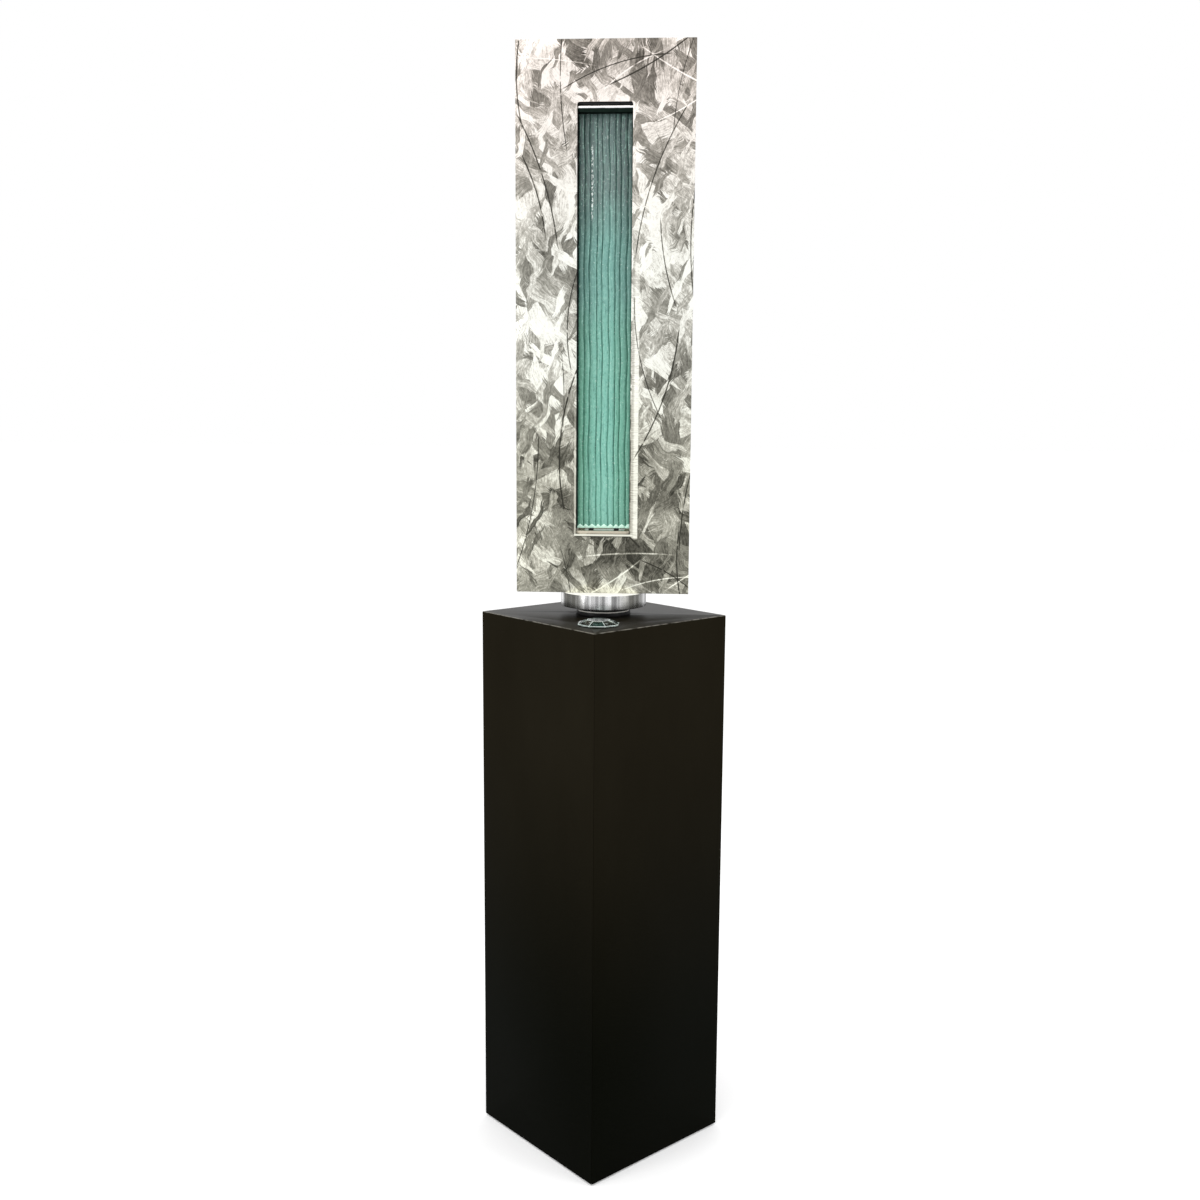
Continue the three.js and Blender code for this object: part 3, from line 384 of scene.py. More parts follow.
# %% One layer of sweeps
def sweeps(finish, flat, heading, length, width, seed):
    """Sweeps of about that length and width in metres. Gives back (chance, tone, scratches), each from 0 to 1."""
    shift = (seed * 3.17, seed * 1.93, 0.0)
    place = finish.vmath("ADD", flat, shift)
    wander = finish.vmath("SUBTRACT", finish.cloud_vector(place, 0.9 / length), (0.5, 0.5, 0.5))
    place = finish.vmath("ADD", place, finish.scaled(wander, length * 0.75))
    ahead = (math.cos(heading), math.sin(heading), 0.0)
    across = (-math.sin(heading), math.cos(heading), 0.0)
    u = finish.dot(place, ahead)
    v = finish.dot(place, across)
    fray = finish.line_noise(v, 420.0, detail=3.0, rough=0.7) - 0.5
    cells = finish.vector((u + fray * (length * 0.9)) / length, v / width, 0.0)
    values = {"Vector": cells, "Scale": 1.0}
    color = finish.node("ShaderNodeTexVoronoi", values, "Color", voronoi_dimensions="2D", feature="F1")
    chance = finish.channel(color, 0)
    tone = finish.channel(color, 1)
    scratches = finish.cloud(finish.vector(u * 46.0, v * 620.0, chance * 9.0), 1.0, detail=3.0, rough=0.72)
    return chance, tone, scratches


# %% [markdown]
# The long strokes are arcs of circles with random middles, radii and lengths. A stroke is the band where the
# distance from its circle's middle equals its radius, faded out at both ends. A seeded draw gives the same panel
# on every run, and none of the strokes copies a real one.

# %% Long strokes of the disc's edge
def stroke(finish, flat, middle, radius, heading, length, width):
    """A thin arc of a circle, 1 on the line and 0 away from it."""
    arm = finish.vmath("SUBTRACT", flat, (middle[0], middle[1], 0.0))
    reach = finish.length(arm)
    line = abs(reach - radius).rise(width, width * 0.3)
    along = finish.dot(arm, (math.cos(heading), math.sin(heading), 0.0))
    cut = radius * math.cos(length / radius / 2)
    return line * along.rise(cut, cut + radius * 0.004 + 0.002)


def strokes(finish, flat, seed, width, lanes, steep):
    """One stroke for each (x range, z range) lane. Steep ones run up and down, the others lie flatter."""
    draw = random.Random(seed)
    total = None
    for x_range, z_range in lanes:
        spot = Vector((draw.uniform(*x_range), draw.uniform(*z_range)))
        lean = draw.uniform(-0.34, 0.34) if steep else draw.uniform(-0.6, 0.6) + math.pi / 2
        heading = lean + draw.choice((0.0, math.pi))
        radius = draw.uniform(0.22, 0.7)
        length = draw.uniform(0.14, 0.3) if steep else draw.uniform(0.09, 0.2)
        middle = spot - radius * Vector((math.cos(heading), math.sin(heading)))
        one = stroke(finish, flat, middle, radius, heading, length, width * draw.uniform(0.7, 1.4))
        total = one if total is None else total.math("MAXIMUM", one)
    return total


# %% The ground finish
def stroke_lanes():
    """Where strokes may start: left and right of the slot at eight heights, then the head's top and foot."""
    low, high = PANEL_Z
    left, right = (PANEL_X[0], GLASS_X[0] - 0.006), (GLASS_X[1] + 0.012, PANEL_X[1])
    rise = (high - low) / 8
    sides = []
    for i in range(8):
        band = (low + rise * i, low + rise * (i + 1))
        sides += [(left, band), (right, band)]
    crown = [(PANEL_X, (high - 0.10, high - 0.02))] * 4
    foot = [(PANEL_X, (low + 0.02, low + 0.09))] * 4
    return sides, crown, foot


def ground_aluminium(name, seed):
    finish, place = begin(name, Metallic=1.0)
    flat = finish.vector(place.part("X"), place.part("Z"), 0.0)
    tall = place.part("Z")
    low, high = PANEL_Z

    # Sweeps in six directions, from the widest to the shortest, each layer only partly over the last.
    layers = [
        (1.35, 0.150, 0.060, 0.00), (-1.10, 0.100, 0.036, 0.50), (0.45, 0.085, 0.028, 0.58),
        (1.85, 0.070, 0.020, 0.60), (-0.65, 0.052, 0.014, 0.66), (1.15, 0.040, 0.009, 0.70),
    ]
    tone, lines = None, None
    for index, (heading, length, width, needed) in enumerate(layers):
        chance, new_tone, new_lines = sweeps(finish, flat, heading, length, width, seed + index * 1.7)
        if tone is None:
            tone, lines = new_tone, new_lines
        else:
            over = chance.rise(needed, needed + 0.03)
            tone = finish.between(over, tone, new_tone)
            lines = finish.between(over, lines, new_lines)

    # The panel is darker towards the foot and a little towards the top, so the middle is brighter.
    shift = finish.vmath("ADD", flat, (seed * 0.7 + 9.0, seed * 1.3 + 4.0, 0.0))
    cloudy = finish.cloud(shift, 7.0, detail=4.0, rough=0.6, twist=0.8)
    flecks = finish.stretched(shift, (1.0, 0.62, 1.0), 230.0, detail=4.0, rough=0.8)
    foot = tall.rise(low + 0.46, low + 0.18)
    crown = tall.rise(high - 0.13, high - 0.04)
    light = tone * 0.62 + (cloudy - 0.5) * 1.1 + (lines - 0.5) * 0.85 + (flecks - 0.5) * 0.8 + 0.25
    light = 0.5 + (light - foot * 0.27 - crown * 0.08 - 0.5) * 0.86

    # A pale fan is painted over the middle of the foot, as a painted reflection of the turned disc below.
    painted_disc_reflection = finish.length(finish.vmath("SUBTRACT", flat, (0.012, low - 0.05, 0.0)))
    light = light + painted_disc_reflection.rise(0.115, 0.075) * 0.26

    # A strip along the slot's right edge is painted nearly white as a painted highlight, hatched from side to side.
    beside = place.part("X") - (GLASS_X[1] + 0.0012)
    hatch = finish.stretched(flat, (60.0, 460.0, 1.0), detail=3.0, rough=0.7)
    strip = beside.rise(0.0, 0.001) * beside.rise(0.0135, 0.012)
    strip = strip * tall.rise(GLASS_Z[0] - 0.018, GLASS_Z[0] - 0.014)
    strip = strip * tall.rise(GLASS_Z[1] - 0.08, GLASS_Z[0] + 0.22)
    painted_highlight = 0.56 + beside.rise(0.003, 0.007) * 0.2 + (hatch - 0.5) * 0.8
    light = finish.between((strip * 0.95).clamped(), light.clamped(), painted_highlight)

    # Thin pale lines are painted along the sill and the lower left edge of the slot as painted edge highlights,
    # and a painted shadow line runs just under the sill.
    sill = SLOT_SILL - tall
    sill_highlight = sill.rise(0.0002, 0.0006) * sill.rise(0.0040, 0.0034)
    sill_highlight = sill_highlight * beside.rise(-0.098, -0.095) * beside.rise(0.006, 0.003)
    left = place.part("X") - (GLASS_X[0] - 0.0005)
    left_edge_highlight = left.rise(0.0002, -0.0002) * left.rise(-0.0030, -0.0024) * sill.rise(0.004, 0.003)
    left_edge_highlight = left_edge_highlight * tall.rise(SLOT_SILL + 0.30, SLOT_SILL + 0.1)
    light = finish.between((sill_highlight + left_edge_highlight * 0.7).clamped(), light, 0.72)
    shadow_line = sill.rise(0.0036, 0.0042) * sill.rise(0.0056, 0.0048)
    light = light - shadow_line * beside.rise(-0.094, -0.09) * beside.rise(0.0, -0.003) * 0.3
    mitre = finish.vmath("SUBTRACT", flat, (GLASS_X[1] + 0.002, GLASS_Z[0] - 0.014, 0.0))
    mitre_off = abs(finish.dot(mitre, (0.7071, 0.7071, 0.0)))
    mitre_on = finish.dot(mitre, (0.7071, -0.7071, 0.0))
    mitre_line = mitre_off.rise(0.0016, 0.0008) * mitre_on.rise(-0.002, 0.0) * mitre_on.rise(0.024, 0.018)

    sides, crown_lanes, foot_lanes = stroke_lanes()
    dark = strokes(finish, flat, seed + 11, 0.0012, sides + crown_lanes[:1], steep=True)
    lying = strokes(finish, flat, seed + 31, 0.0011, crown_lanes[:2] + foot_lanes[:1], steep=False)
    dark = dark.math("MAXIMUM", lying)
    pale = strokes(finish, flat, seed + 23, 0.0014, crown_lanes + foot_lanes, steep=False)
    broken = finish.cloud(flat, 90.0).rise(0.30, 0.44)
    light = (light + pale * broken * 0.45 - dark * broken * 0.6 - mitre_line * 0.8).clamped()

    color = finish.ramp(light, [
        (0.0, shade(62, 61, 57)), (0.2, shade(108, 106, 100)), (0.42, shade(154, 152, 145)),
        (0.56, shade(196, 193, 187)), (0.7, shade(242, 241, 236)), (0.85, shade(255, 255, 252)),
    ])
    warm = finish.blend(tall.rise(high - 0.4, high - 0.02), shade(253, 254, 250), shade(255, 247, 244))
    olive = finish.blend(foot, grey(255), shade(246, 246, 240))
    for tint in (warm, olive):
        color = finish.blend(1.0, color, tint, mode="MULTIPLY")
    height = lines * 0.6 + flecks * 0.4
    finish.drive(
        Base_Color=color,
        Roughness=0.3 + (1 - light) * 0.16 + (flecks - 0.5) * 0.12,
        Normal=finish.bumped(height, 0.00012, 0.35),
    )
    print(name, "nodes:", len(finish.tree.nodes))
    return finish.material


FINISHES = {"ground_aluminium": ground_aluminium("ground_aluminium_front", 4)}
GROUND_BACK = ground_aluminium("ground_aluminium_back", 17)

# %% [markdown]
# ## Turned, folded and polished metal
#
# A lathe leaves fine rings round the disc's axis, and bands of painted reflection run round its side. The head's
# folded sides are satin finished, with faint lines along their length. The spreader tube is bought polished and has
# finger marks, with a painted highlight over its upper half and a painted dark reflection below. All three are
# metal all through, so their colour is that of their reflection, and roughness and bump tell them apart.

# %% Metals
def turned_metal(name):
    finish, place = begin(name)
    around = place.part("Y").math("ARCTAN2", place.part("X"))
    radius = finish.length(finish.vmath("MULTIPLY", place, (1.0, 1.0, 0.0)))
    rings = finish.line_noise(radius + place.part("Z"), 2600.0)
    chatter_and_painted_sheen = finish.line_noise(around, 3.4, rough=0.55)
    fine = finish.line_noise(around, 70.0, rough=0.6)
    stain = finish.cloud(place, 60.0, detail=4.0, rough=0.6)
    # The bright and dark bands round the side are painted reflections, laid over the lathe's chatter.
    base = finish.ramp(chatter_and_painted_sheen * 0.8 + fine * 0.2, [(0.38, grey(92)), (0.48, grey(172)), (0.56, grey(255))])
    base = finish.blend((rings - 0.5) * 0.5 + 0.2, base, grey(140))
    # Painted reflection: the side is darkened in four lobes halfway between front, back, left and right, so it
    # reads bright at those four.
    painted_reflection_lobes = ((around + math.pi / 2) * 4).math("COSINE")
    base = finish.blend(painted_reflection_lobes.rise(0.3, -0.75) * 0.8, base, shade(84, 83, 76))
    base = finish.blend(stain.rise(0.6, 0.72) * 0.4, base, shade(150, 147, 138))
    # The flat top was faced with a blunt tool: it is matt and pale, and never mirrors the panel above it.
    faced = place.part("Z").rise(DISC_TOP - 0.0008, DISC_TOP - 0.0004)
    base = finish.blend(faced, base, shade(255, 254, 246))
    return finish.drive(
        Base_Color=base,
        Metallic=1 - faced * 0.92,
        Roughness=0.2 + rings * 0.12 + stain.rise(0.55, 0.75) * 0.12 + faced * 0.3,
        Normal=finish.bumped(rings, 0.00006, 0.5),
    )


def tinted(level, tint):
    """A grey level with a tint, never quite black."""
    return shade(*(max(4, level + shift) for shift in tint))


def brushed_metal(name, tone, along, roughness=0.38, tint=(0, 0, 0)):
    """Sheet with fine lines that run along one axis (0, 1 or 2)."""
    finish, place = begin(name, Metallic=1.0)
    counts = tuple(12.0 if axis == along else 700.0 for axis in (X, Y, Z))
    lines = finish.stretched(place, counts, detail=3.0, rough=0.7)
    bloom = finish.cloud(place, 9.0, detail=4.0, rough=0.6)
    base = finish.blend(lines, tinted(tone - 34, tint), tinted(tone + 26, tint))
    base = finish.blend(bloom.rise(0.5, 0.75) * 0.4, base, shade(tone - 14, tone - 16, tone - 24))
    return finish.drive(
        Base_Color=base,
        Roughness=roughness + (lines - 0.5) * 0.16 + bloom.rise(0.45, 0.7) * 0.08,
        Normal=finish.bumped(lines, 0.00008, 0.4),
    )


def polished_metal(name):
    """Chrome with a painted highlight over its upper half, a painted dark reflection over its lower half, and
    finger marks.
    """
    finish, place = begin(name, Metallic=1.0)
    smear = finish.cloud(place, 45.0, detail=4.0, rough=0.6).rise(0.5, 0.72)
    low, high = span("spreader_tube", Z)
    rise = (place.part("Z") - low) / (high - low) + (finish.line_noise(place.part("X"), 60.0) - 0.5) * 0.06
    painted_bright_half = rise.rise(0.49, 0.55)
    dark_half_mottle = finish.stretched(place, (260.0, 260.0, 90.0))
    painted_dark_half = finish.blend(dark_half_mottle, shade(9, 15, 12), shade(28, 39, 34))
    return finish.drive(
        Base_Color=finish.blend(painted_bright_half, painted_dark_half, finish.blend(smear * 0.5, grey(252), shade(232, 232, 226))),
        Roughness=0.3 - painted_bright_half * 0.22 + smear * 0.08,
    )


def plated_steel(name, tone, roughness, tint=(0, 0, 0)):
    """Zinc plate or black oxide: a fine crystalline skin with duller spots."""
    finish, place = begin(name, Metallic=1.0 if tone > 100 else 0.7)
    crystals = finish.node("ShaderNodeTexVoronoi", {"Vector": place, "Scale": 1400.0}, "Distance", feature="F1")
    spots = finish.cloud(place, 120.0, detail=4.0, rough=0.65)
    return finish.drive(
        Base_Color=finish.blend(spots, tinted(tone - 18, tint), tinted(tone + 10, tint)),
        Roughness=roughness + (spots - 0.5) * 0.2,
        Normal=finish.bumped(crystals, 0.00003, 0.5),
    )


FINISHES["turned_aluminium"] = turned_metal("turned_aluminium_rings")
FINISHES["folded_aluminium"] = brushed_metal("folded_aluminium_satin", 172, Z)
# The slot's liner is painted dark, as painted shade in the gaps beside the glass.
SHADED_SLOT_LINER = brushed_metal("liner_painted_dark_as_shade", 52, Z, roughness=0.55)
TROUGH_METAL = brushed_metal("trough_warm_metal", 190, X, roughness=0.5, tint=(8, 0, -18))
FINISHES["chrome"] = polished_metal("polished_chrome")
FINISHES["zinc_steel"] = plated_steel("zinc_plate", 184, 0.34, (0, 1, 4))
FINISHES["black_steel"] = plated_steel("black_oxide", 34, 0.42)
print("metals:", sorted(FINISHES))

# %% [markdown]
# ## Lacquer, board, plastic and rubber
#
# The plinth is sprayed satin black. Sprayed lacquer is never dead flat: it has a faint orange-peel surface, a
# brown warmth where light rakes across it, and fine dust. Moulded plastic has an even fine grain, and rubber is
# dull with a dusty bloom.

# %% Lacquer and plastics
def satin_lacquer(name, level):
    """Level is the strength of the lacquer's mirror: the flat top was rubbed out and shines more than the sides."""
    finish, place = begin(name, Specular_IOR_Level=level)
    peel = finish.cloud(place, 420.0)
    drift = finish.stretched(place, (1.0, 1.0, 0.35), 7.0, detail=4.0, rough=0.6)
    dust = finish.cloud(place, 900.0, detail=1.0).rise(0.70, 0.78)
    tall = place.part("Z").rise(0.15, 0.85)
    # Painted shade: the lacquer is darker towards the foot and lighter higher up.
    low = finish.blend(drift, finish.blend(tall, shade(4, 5, 2), shade(20, 17, 10)),
                       finish.blend(tall, shade(8, 9, 5), shade(30, 27, 19)))
    # A pale line is painted along the rim of the top, broken by noise: a painted edge highlight.
    rim = PLINTH_REACH - (abs(place.part("X")) + abs(place.part("Y")))
    painted_highlight = rim.rise(0.0034, 0.0012) * place.part("Z").rise(PLINTH_TOP - 0.0012, PLINTH_TOP - 0.0006)
    painted_highlight = painted_highlight * finish.cloud(place, 70.0, detail=3.0).rise(0.3, 0.6)
    low = finish.blend(painted_highlight * 0.8, low, shade(150, 146, 136))
    return finish.drive(
        Base_Color=finish.blend(dust * 0.12, low, shade(70, 66, 58)),
        Roughness=0.42 + (peel - 0.5) * 0.08 + (drift - 0.5) * 0.12,
        Normal=finish.bumped(peel, 0.00012, 0.18),
    )


def painted_board(name):
    """Fibreboard under one thin coat: the fibres still show."""
    finish, place = begin(name, Specular_IOR_Level=0.3)
    fibres = finish.cloud(place, 260.0, detail=4.0, rough=0.7, twist=1.2)
    bloom = finish.cloud(place, 8.0, detail=3.0)
    return finish.drive(
        Base_Color=finish.blend(fibres, shade(22, 20, 18), shade(44, 41, 37)),
        Roughness=0.72 + (bloom - 0.5) * 0.2,
        Normal=finish.bumped(fibres, 0.0003, 0.35),
    )


def moulded_plastic(name, color, roughness, grain=0.3):
    finish, place = begin(name)
    pits = finish.cloud(place, 1500.0, detail=1.0)
    wear = finish.cloud(place, 14.0, detail=4.0, rough=0.6)
    pale = tuple(min(255, c + 12) for c in color)
    return finish.drive(
        Base_Color=finish.blend(wear, shade(*color), shade(*pale)),
        Roughness=roughness + (wear - 0.5) * 0.16,
        Normal=finish.bumped(pits, 0.00005, grain),
    )


def dull_rubber(name):
    finish, place = begin(name, Specular_IOR_Level=0.25)
    bloom = finish.cloud(place, 50.0, detail=4.0, rough=0.65)
    return finish.drive(
        Base_Color=finish.blend(bloom.rise(0.45, 0.75), shade(20, 21, 22), shade(48, 48, 47)),
        Roughness=0.78 + (bloom - 0.5) * 0.2,
        Normal=finish.bumped(bloom, 0.0001, 0.3),
    )


def milky_tube(name):
    finish, place = begin(name, Transmission_Weight=0.45, IOR=1.4)
    haze = finish.cloud(place, 40.0, detail=3.0)
    return finish.drive(
        Base_Color=finish.blend(haze, shade(205, 214, 211), shade(226, 231, 226)),
        Roughness=0.22 + haze * 0.16,
    )


FINISHES["black_paint"] = satin_lacquer("satin_black_lacquer", 0.004)
LACQUERED_TOP = satin_lacquer("satin_black_lacquer_top", 0.13)
FINISHES["black_board"] = painted_board("painted_fibreboard")
FINISHES["black_rubber"] = dull_rubber("dull_black_rubber")
FINISHES["white_nylon"] = moulded_plastic("white_nylon_skin", (222, 220, 212), 0.42)
FINISHES["black_plastic"] = moulded_plastic("black_moulding", (26, 27, 29), 0.46, 0.5)
FINISHES["grey_plastic"] = moulded_plastic("grey_moulding", (106, 110, 113), 0.5)
FINISHES["pale_acrylic"] = moulded_plastic("frosted_acrylic", (232, 240, 234), 0.3, 0.1)
FINISHES["clear_hose"] = milky_tube("milky_hose")
print("finishes so far:", len(FINISHES))

# %% [markdown]
# ## Glass
#
# The tall strip is blue-green cast glass, reeded down its front and rippled by the mould. A light bar at its foot
# makes it glow mint at the bottom, and it sinks to slate at the top; this glow is painted into the glass's colour
# and emission, as the light bar is no lamp here. Clear glass would show only the room behind it; this glass is
# thick, seedy and wet, and scatters most of the light inside. So it gets a body colour of its own, which carries
# the painted glow, painted shade in the valleys and painted glints, with a share of real transmission on top.

# %% Glass finishes
def rib_edges():
    """The valleys between the ribs as shares of the width. The mould was cut by hand, so no two ribs are equal."""
    draw = random.Random(7)
    widths = [draw.uniform(0.72, 1.3) for _ in range(RIBS)]
    edges, place = [0.0], 0.0
    for width in widths:
        place += width / sum(widths)
        edges.append(place)
    return edges


SWAYS = ((0.009, 23, 1.1), (0.006, 61, 4.0))


def sway(height):
    """How far a valley wanders sideways at a height in metres, as a share of the width."""
    return sum(reach * math.sin(turns * height + start) for reach, turns, start in SWAYS)


RIB_EDGES = rib_edges()
RIB_SWAY = [0.0] + [0.5 + 0.9 * ((i * 37) % 11) / 11 for i in range(1, RIBS)] + [0.0]
print("valleys:", [round(edge, 3) for edge in RIB_EDGES])


def reeded_glass(name):
    finish, place = begin(name, Transmission_Weight=0.12, IOR=1.45)
    low, high = GLASS_Z
    up = place.part("Z")
    tall = (up - low) / (high - low)
    across = (place.part("X") - GLASS_X[0]) / (GLASS_X[1] - GLASS_X[0])
    wander = sum((up * turns + start).math("SINE") * reach for reach, turns, start in SWAYS)

    # Body colour: a painted glow, mint near the light bar at the foot and fading to slate near the top, with a soft
    # edge between them.
    soft = finish.stretched(place, (34.0, 34.0, 4.0), detail=3.0, rough=0.6)
    tall_soft = (tall + (soft - 0.5) * 0.16).clamped()
    body = finish.ramp(tall_soft, [
        (0.0, shade(140, 200, 186)), (0.25, shade(136, 200, 186)), (0.5, shade(134, 194, 180)),
        (0.68, shade(126, 178, 168)), (0.8, shade(120, 142, 138)), (1.0, shade(100, 118, 116)),
    ])

    # Ribs: each has its own tone, and the middle ones get the most painted glow.
    tones = random.Random(12)
    stops = []
    for i in range(RIBS):
        middle = (RIB_EDGES[i] + RIB_EDGES[i + 1]) / 2
        painted_glow = math.exp(-((middle - 0.5) / 0.26) ** 2)
        stops.append((middle, grey(96 + 92 * painted_glow + tones.uniform(-26, 26))))
    rib_tone = finish.ramp(across + wander * 0.8, stops)
    body = finish.blend(0.62, body, rib_tone, mode="OVERLAY")
    streaks = finish.stretched(place, (520.0, 520.0, 24.0), detail=3.0, rough=0.72)
    body = finish.blend(streaks.rise(0.52, 0.68) * 0.42, body, shade(160, 214, 196))
    body = finish.blend(streaks.rise(0.46, 0.32) * 0.5, body, shade(58, 106, 98))

    # Painted shade in the valleys between the ribs, wandering with the height.
    ragged = (finish.stretched(place, (90.0, 90.0, 120.0)) - 0.5) * 0.010
    painted_valley_shade = None
    for edge, share in list(zip(RIB_EDGES, RIB_SWAY))[1:-1]:
        off = abs(across - edge - wander * share + ragged)
        one = off.rise(0.014, 0.003)
        painted_valley_shade = one if painted_valley_shade is None else painted_valley_shade.math("MAXIMUM", one)
    depth = finish.stretched(place, (160.0, 160.0, 11.0)).rise(0.3, 0.62)
    body = finish.blend(painted_valley_shade * (depth * 0.58 + 0.1), body, shade(44, 84, 76))
    # Painted shade darkens both side edges of the glass.
    sides = abs(across - 0.5).rise(0.470, 0.492)
    body = finish.blend(sides * 0.85, body, shade(24, 50, 42))

    # Ripples get painted highlights on their crests and painted shade in their hollows. The seeds, and a dotted
    # line high on the left quarter of the glass, are painted near white as glints.
    ripple = finish.stretched(place, (300.0, 300.0, 150.0), detail=3.0, rough=0.75)
    body = finish.blend(ripple.rise(0.55, 0.68) * 0.42, body, shade(172, 220, 204))
    body = finish.blend(ripple.rise(0.45, 0.33) * 0.42, body, shade(50, 92, 84))
    seeds = finish.stretched(place, (520.0, 520.0, 300.0), detail=1.0).rise(0.725, 0.77)
    glint_specks = finish.stretched(place, (300.0, 300.0, 210.0)).rise(0.5, 0.56)
    glint_line = abs(across - 0.252 - wander * 0.5).rise(0.021, 0.013) * tall.rise(0.735, 0.755) * tall.rise(0.915, 0.90)
    seeds_and_glints = (glint_line * glint_specks + seeds * 0.7).clamped()
    body = finish.blend(seeds_and_glints, body, shade(240, 250, 246))

    # The foot: round rib ends lit from below.
    scallop = finish.ramp(across, [
        stop for i in range(RIBS) for stop in (
            (RIB_EDGES[i] + 0.002, grey(0)), ((RIB_EDGES[i] + RIB_EDGES[i + 1]) / 2, grey(255)))
    ])
    foot_height = finish.channel(scallop, 0) * 0.0045 + 0.0035
    foot = (foot_height - (up - low)).rise(0.0, 0.0012)
    body = finish.blend(foot * 0.95, body, shade(220, 250, 236))
    painted_glow = finish.blend((1 - tall).clamped() ** 2.0, (0, 0, 0, 1), shade(60, 96, 84))
    painted_glow = finish.blend(foot, painted_glow, shade(200, 240, 222))
    finish.shader.inputs["Emission Strength"].default_value = 0.3
    return finish.drive(
        Base_Color=body,
        Roughness=0.12 + streaks * 0.1,
        Emission_Color=painted_glow,
        Normal=finish.bumped(ripple * 0.5 + streaks * 0.3, 0.0004, 0.4),
    )


def cut_glass(name):
    finish, place = begin(name, Transmission_Weight=1.0, IOR=1.52)
    smear = finish.cloud(place, 60.0, detail=3.0)
    return finish.drive(
        Base_Color=finish.blend(smear, shade(214, 232, 224), shade(228, 240, 234)),
        Roughness=0.01 + smear.rise(0.55, 0.8) * 0.05,
    )


def frosted_edge_highlight(name):
    """Where two facets meet, the wheel leaves a narrow frosted line; it is painted near white as a painted
    highlight.
    """
    finish, place = begin(name, Transmission_Weight=0.25, IOR=1.5)
    grain = finish.cloud(place, 1200.0)
    return finish.drive(
        Base_Color=finish.blend(grain, shade(206, 226, 218), shade(246, 252, 248)),
        Roughness=0.3 + grain * 0.2,
    )


FINISHES["reeded_glass"] = reeded_glass("rippled_reeded_glass")
FINISHES["clear_glass"] = cut_glass("cut_clear_glass")
FROSTED_EDGE_HIGHLIGHTS = frosted_edge_highlight("frosted_facet_edges_painted_highlight")
print("finishes with the glass:", len(FINISHES))

# %% [markdown]
# ## Keeping the workshop's solids, with softer edges
#
# Most pieces already have their true shape. What gives a model away is its edges: a real sheet, board or moulding
# has a small round that catches light. A bevel modifier adds it without touching the solid. The solids arrive
# with every face cut loose and with stored normals, so the normals are dropped and the points are welded first.
# At the end faces that meet at a low angle are shaded as one smooth surface.

# %% Edge rounds for a model node
def node_group(name):
    group = bpy.data.node_groups.new(name, "GeometryNodeTree")
    for way in ("INPUT", "OUTPUT"):
        group.interface.new_socket("Geometry", in_out=way, socket_type="NodeSocketGeometry")
    return group, group.nodes.new("NodeGroupInput").outputs[0], group.nodes.new("NodeGroupOutput").inputs[0]


def drop_normals_group():
    group, start, end = node_group("drop_stored_normals")
    drop = group.nodes.new("GeometryNodeRemoveAttribute")
    drop.inputs["Name"].default_value = "custom_normal"
    group.links.new(start, drop.inputs["Geometry"])
    group.links.new(drop.outputs["Geometry"], end)
    return group


def smooth_group(limit):
    group, start, end = node_group("smooth_low_angles")
    make, link = group.nodes.new, group.links.new
    faces, edges = make("GeometryNodeSetShadeSmooth"), make("GeometryNodeSetShadeSmooth")
    faces.domain, edges.domain = "FACE", "EDGE"
    angle = make("GeometryNodeInputMeshEdgeAngle")
    low = make("FunctionNodeCompare")
    low.data_type, low.operation = "FLOAT", "LESS_THAN"
    low.inputs[1].default_value = limit
    link(angle.outputs["Unsigned Angle"], low.inputs[0])
    link(low.outputs["Result"], edges.inputs["Shade Smooth"])
    link(start, faces.inputs["Geometry"])
    link(faces.outputs["Geometry"], edges.inputs["Geometry"])
    link(edges.outputs["Geometry"], end)
    return group


DROP_NORMALS = drop_normals_group()
SMOOTH_BELOW, ROUND_ABOVE = math.radians(32), math.radians(40)
SMOOTH = smooth_group(SMOOTH_BELOW)


def soften(node, width):
    """Rounds the edges of a model node by width in metres, with modifiers only."""
    piece = nodes[node]
    piece.modifiers.new("drop_normals", "NODES").node_group = DROP_NORMALS
    weld = piece.modifiers.new("weld", "WELD")
    weld.merge_threshold = 0.00001
    if width > 0:
        bevel = piece.modifiers.new("edge_round", "BEVEL")
        bevel.width = width
        bevel.segments = 2
        bevel.limit_method = "ANGLE"
        bevel.angle_limit = ROUND_ABOVE
        bevel.use_clamp_overlap = True
    piece.modifiers.new("smooth", "NODES").node_group = SMOOTH


def dress(node, material):
    """Puts one finish on all of a model node."""
    slots = nodes[node].data.materials
    for index in range(len(slots)):
        slots[index] = material


SLOT_OF = {part["node"]: part["material_slot"] for part in frame["record"]["subparts"]}
for name in nodes:
    dress(name, FINISHES[SLOT_OF[name]])
dress("back_panel", GROUND_BACK)
dress("plinth_top", LACQUERED_TOP)
dress("slot_liner", SHADED_SLOT_LINER)
dress("catch_trough", TROUGH_METAL)

# Widths are in millimetres. A node without one is only welded and smoothed; those made again stay as they are.
EDGE_ROUNDS = {
    0.8: "front_left_side front_right_side back_left_side plinth_top service_door",
    0.5: "power_inlet rocker_switch door_pull flow_dial",
    0.4: "plinth_floor shelf front_panel back_panel wrap_band bottom_cap light_driver pump_body pump_strainer "
         "reservoir_tank catch_magnet light_bar",
    0.3: "hinge_fixed_leaf hinge_door_leaf catch_plate catch_trough slot_liner spindle_nut impeller "
         "setting_block_left setting_block_right",
    0.2: "cover_screw_1 cover_screw_2 cover_screw_3 cover_screw_4",
}
MADE_AGAIN = "glass_panel base_disc turntable_upper_ring turntable_lower_ring spreader_tube glass_jewel".split()
WIDTH_OF = {name: width * MM for width, names in EDGE_ROUNDS.items() for name in names.split()}
kept = [name for name in nodes if name not in MADE_AGAIN]
for name in kept:
    soften(name, WIDTH_OF.get(name, 0.0))
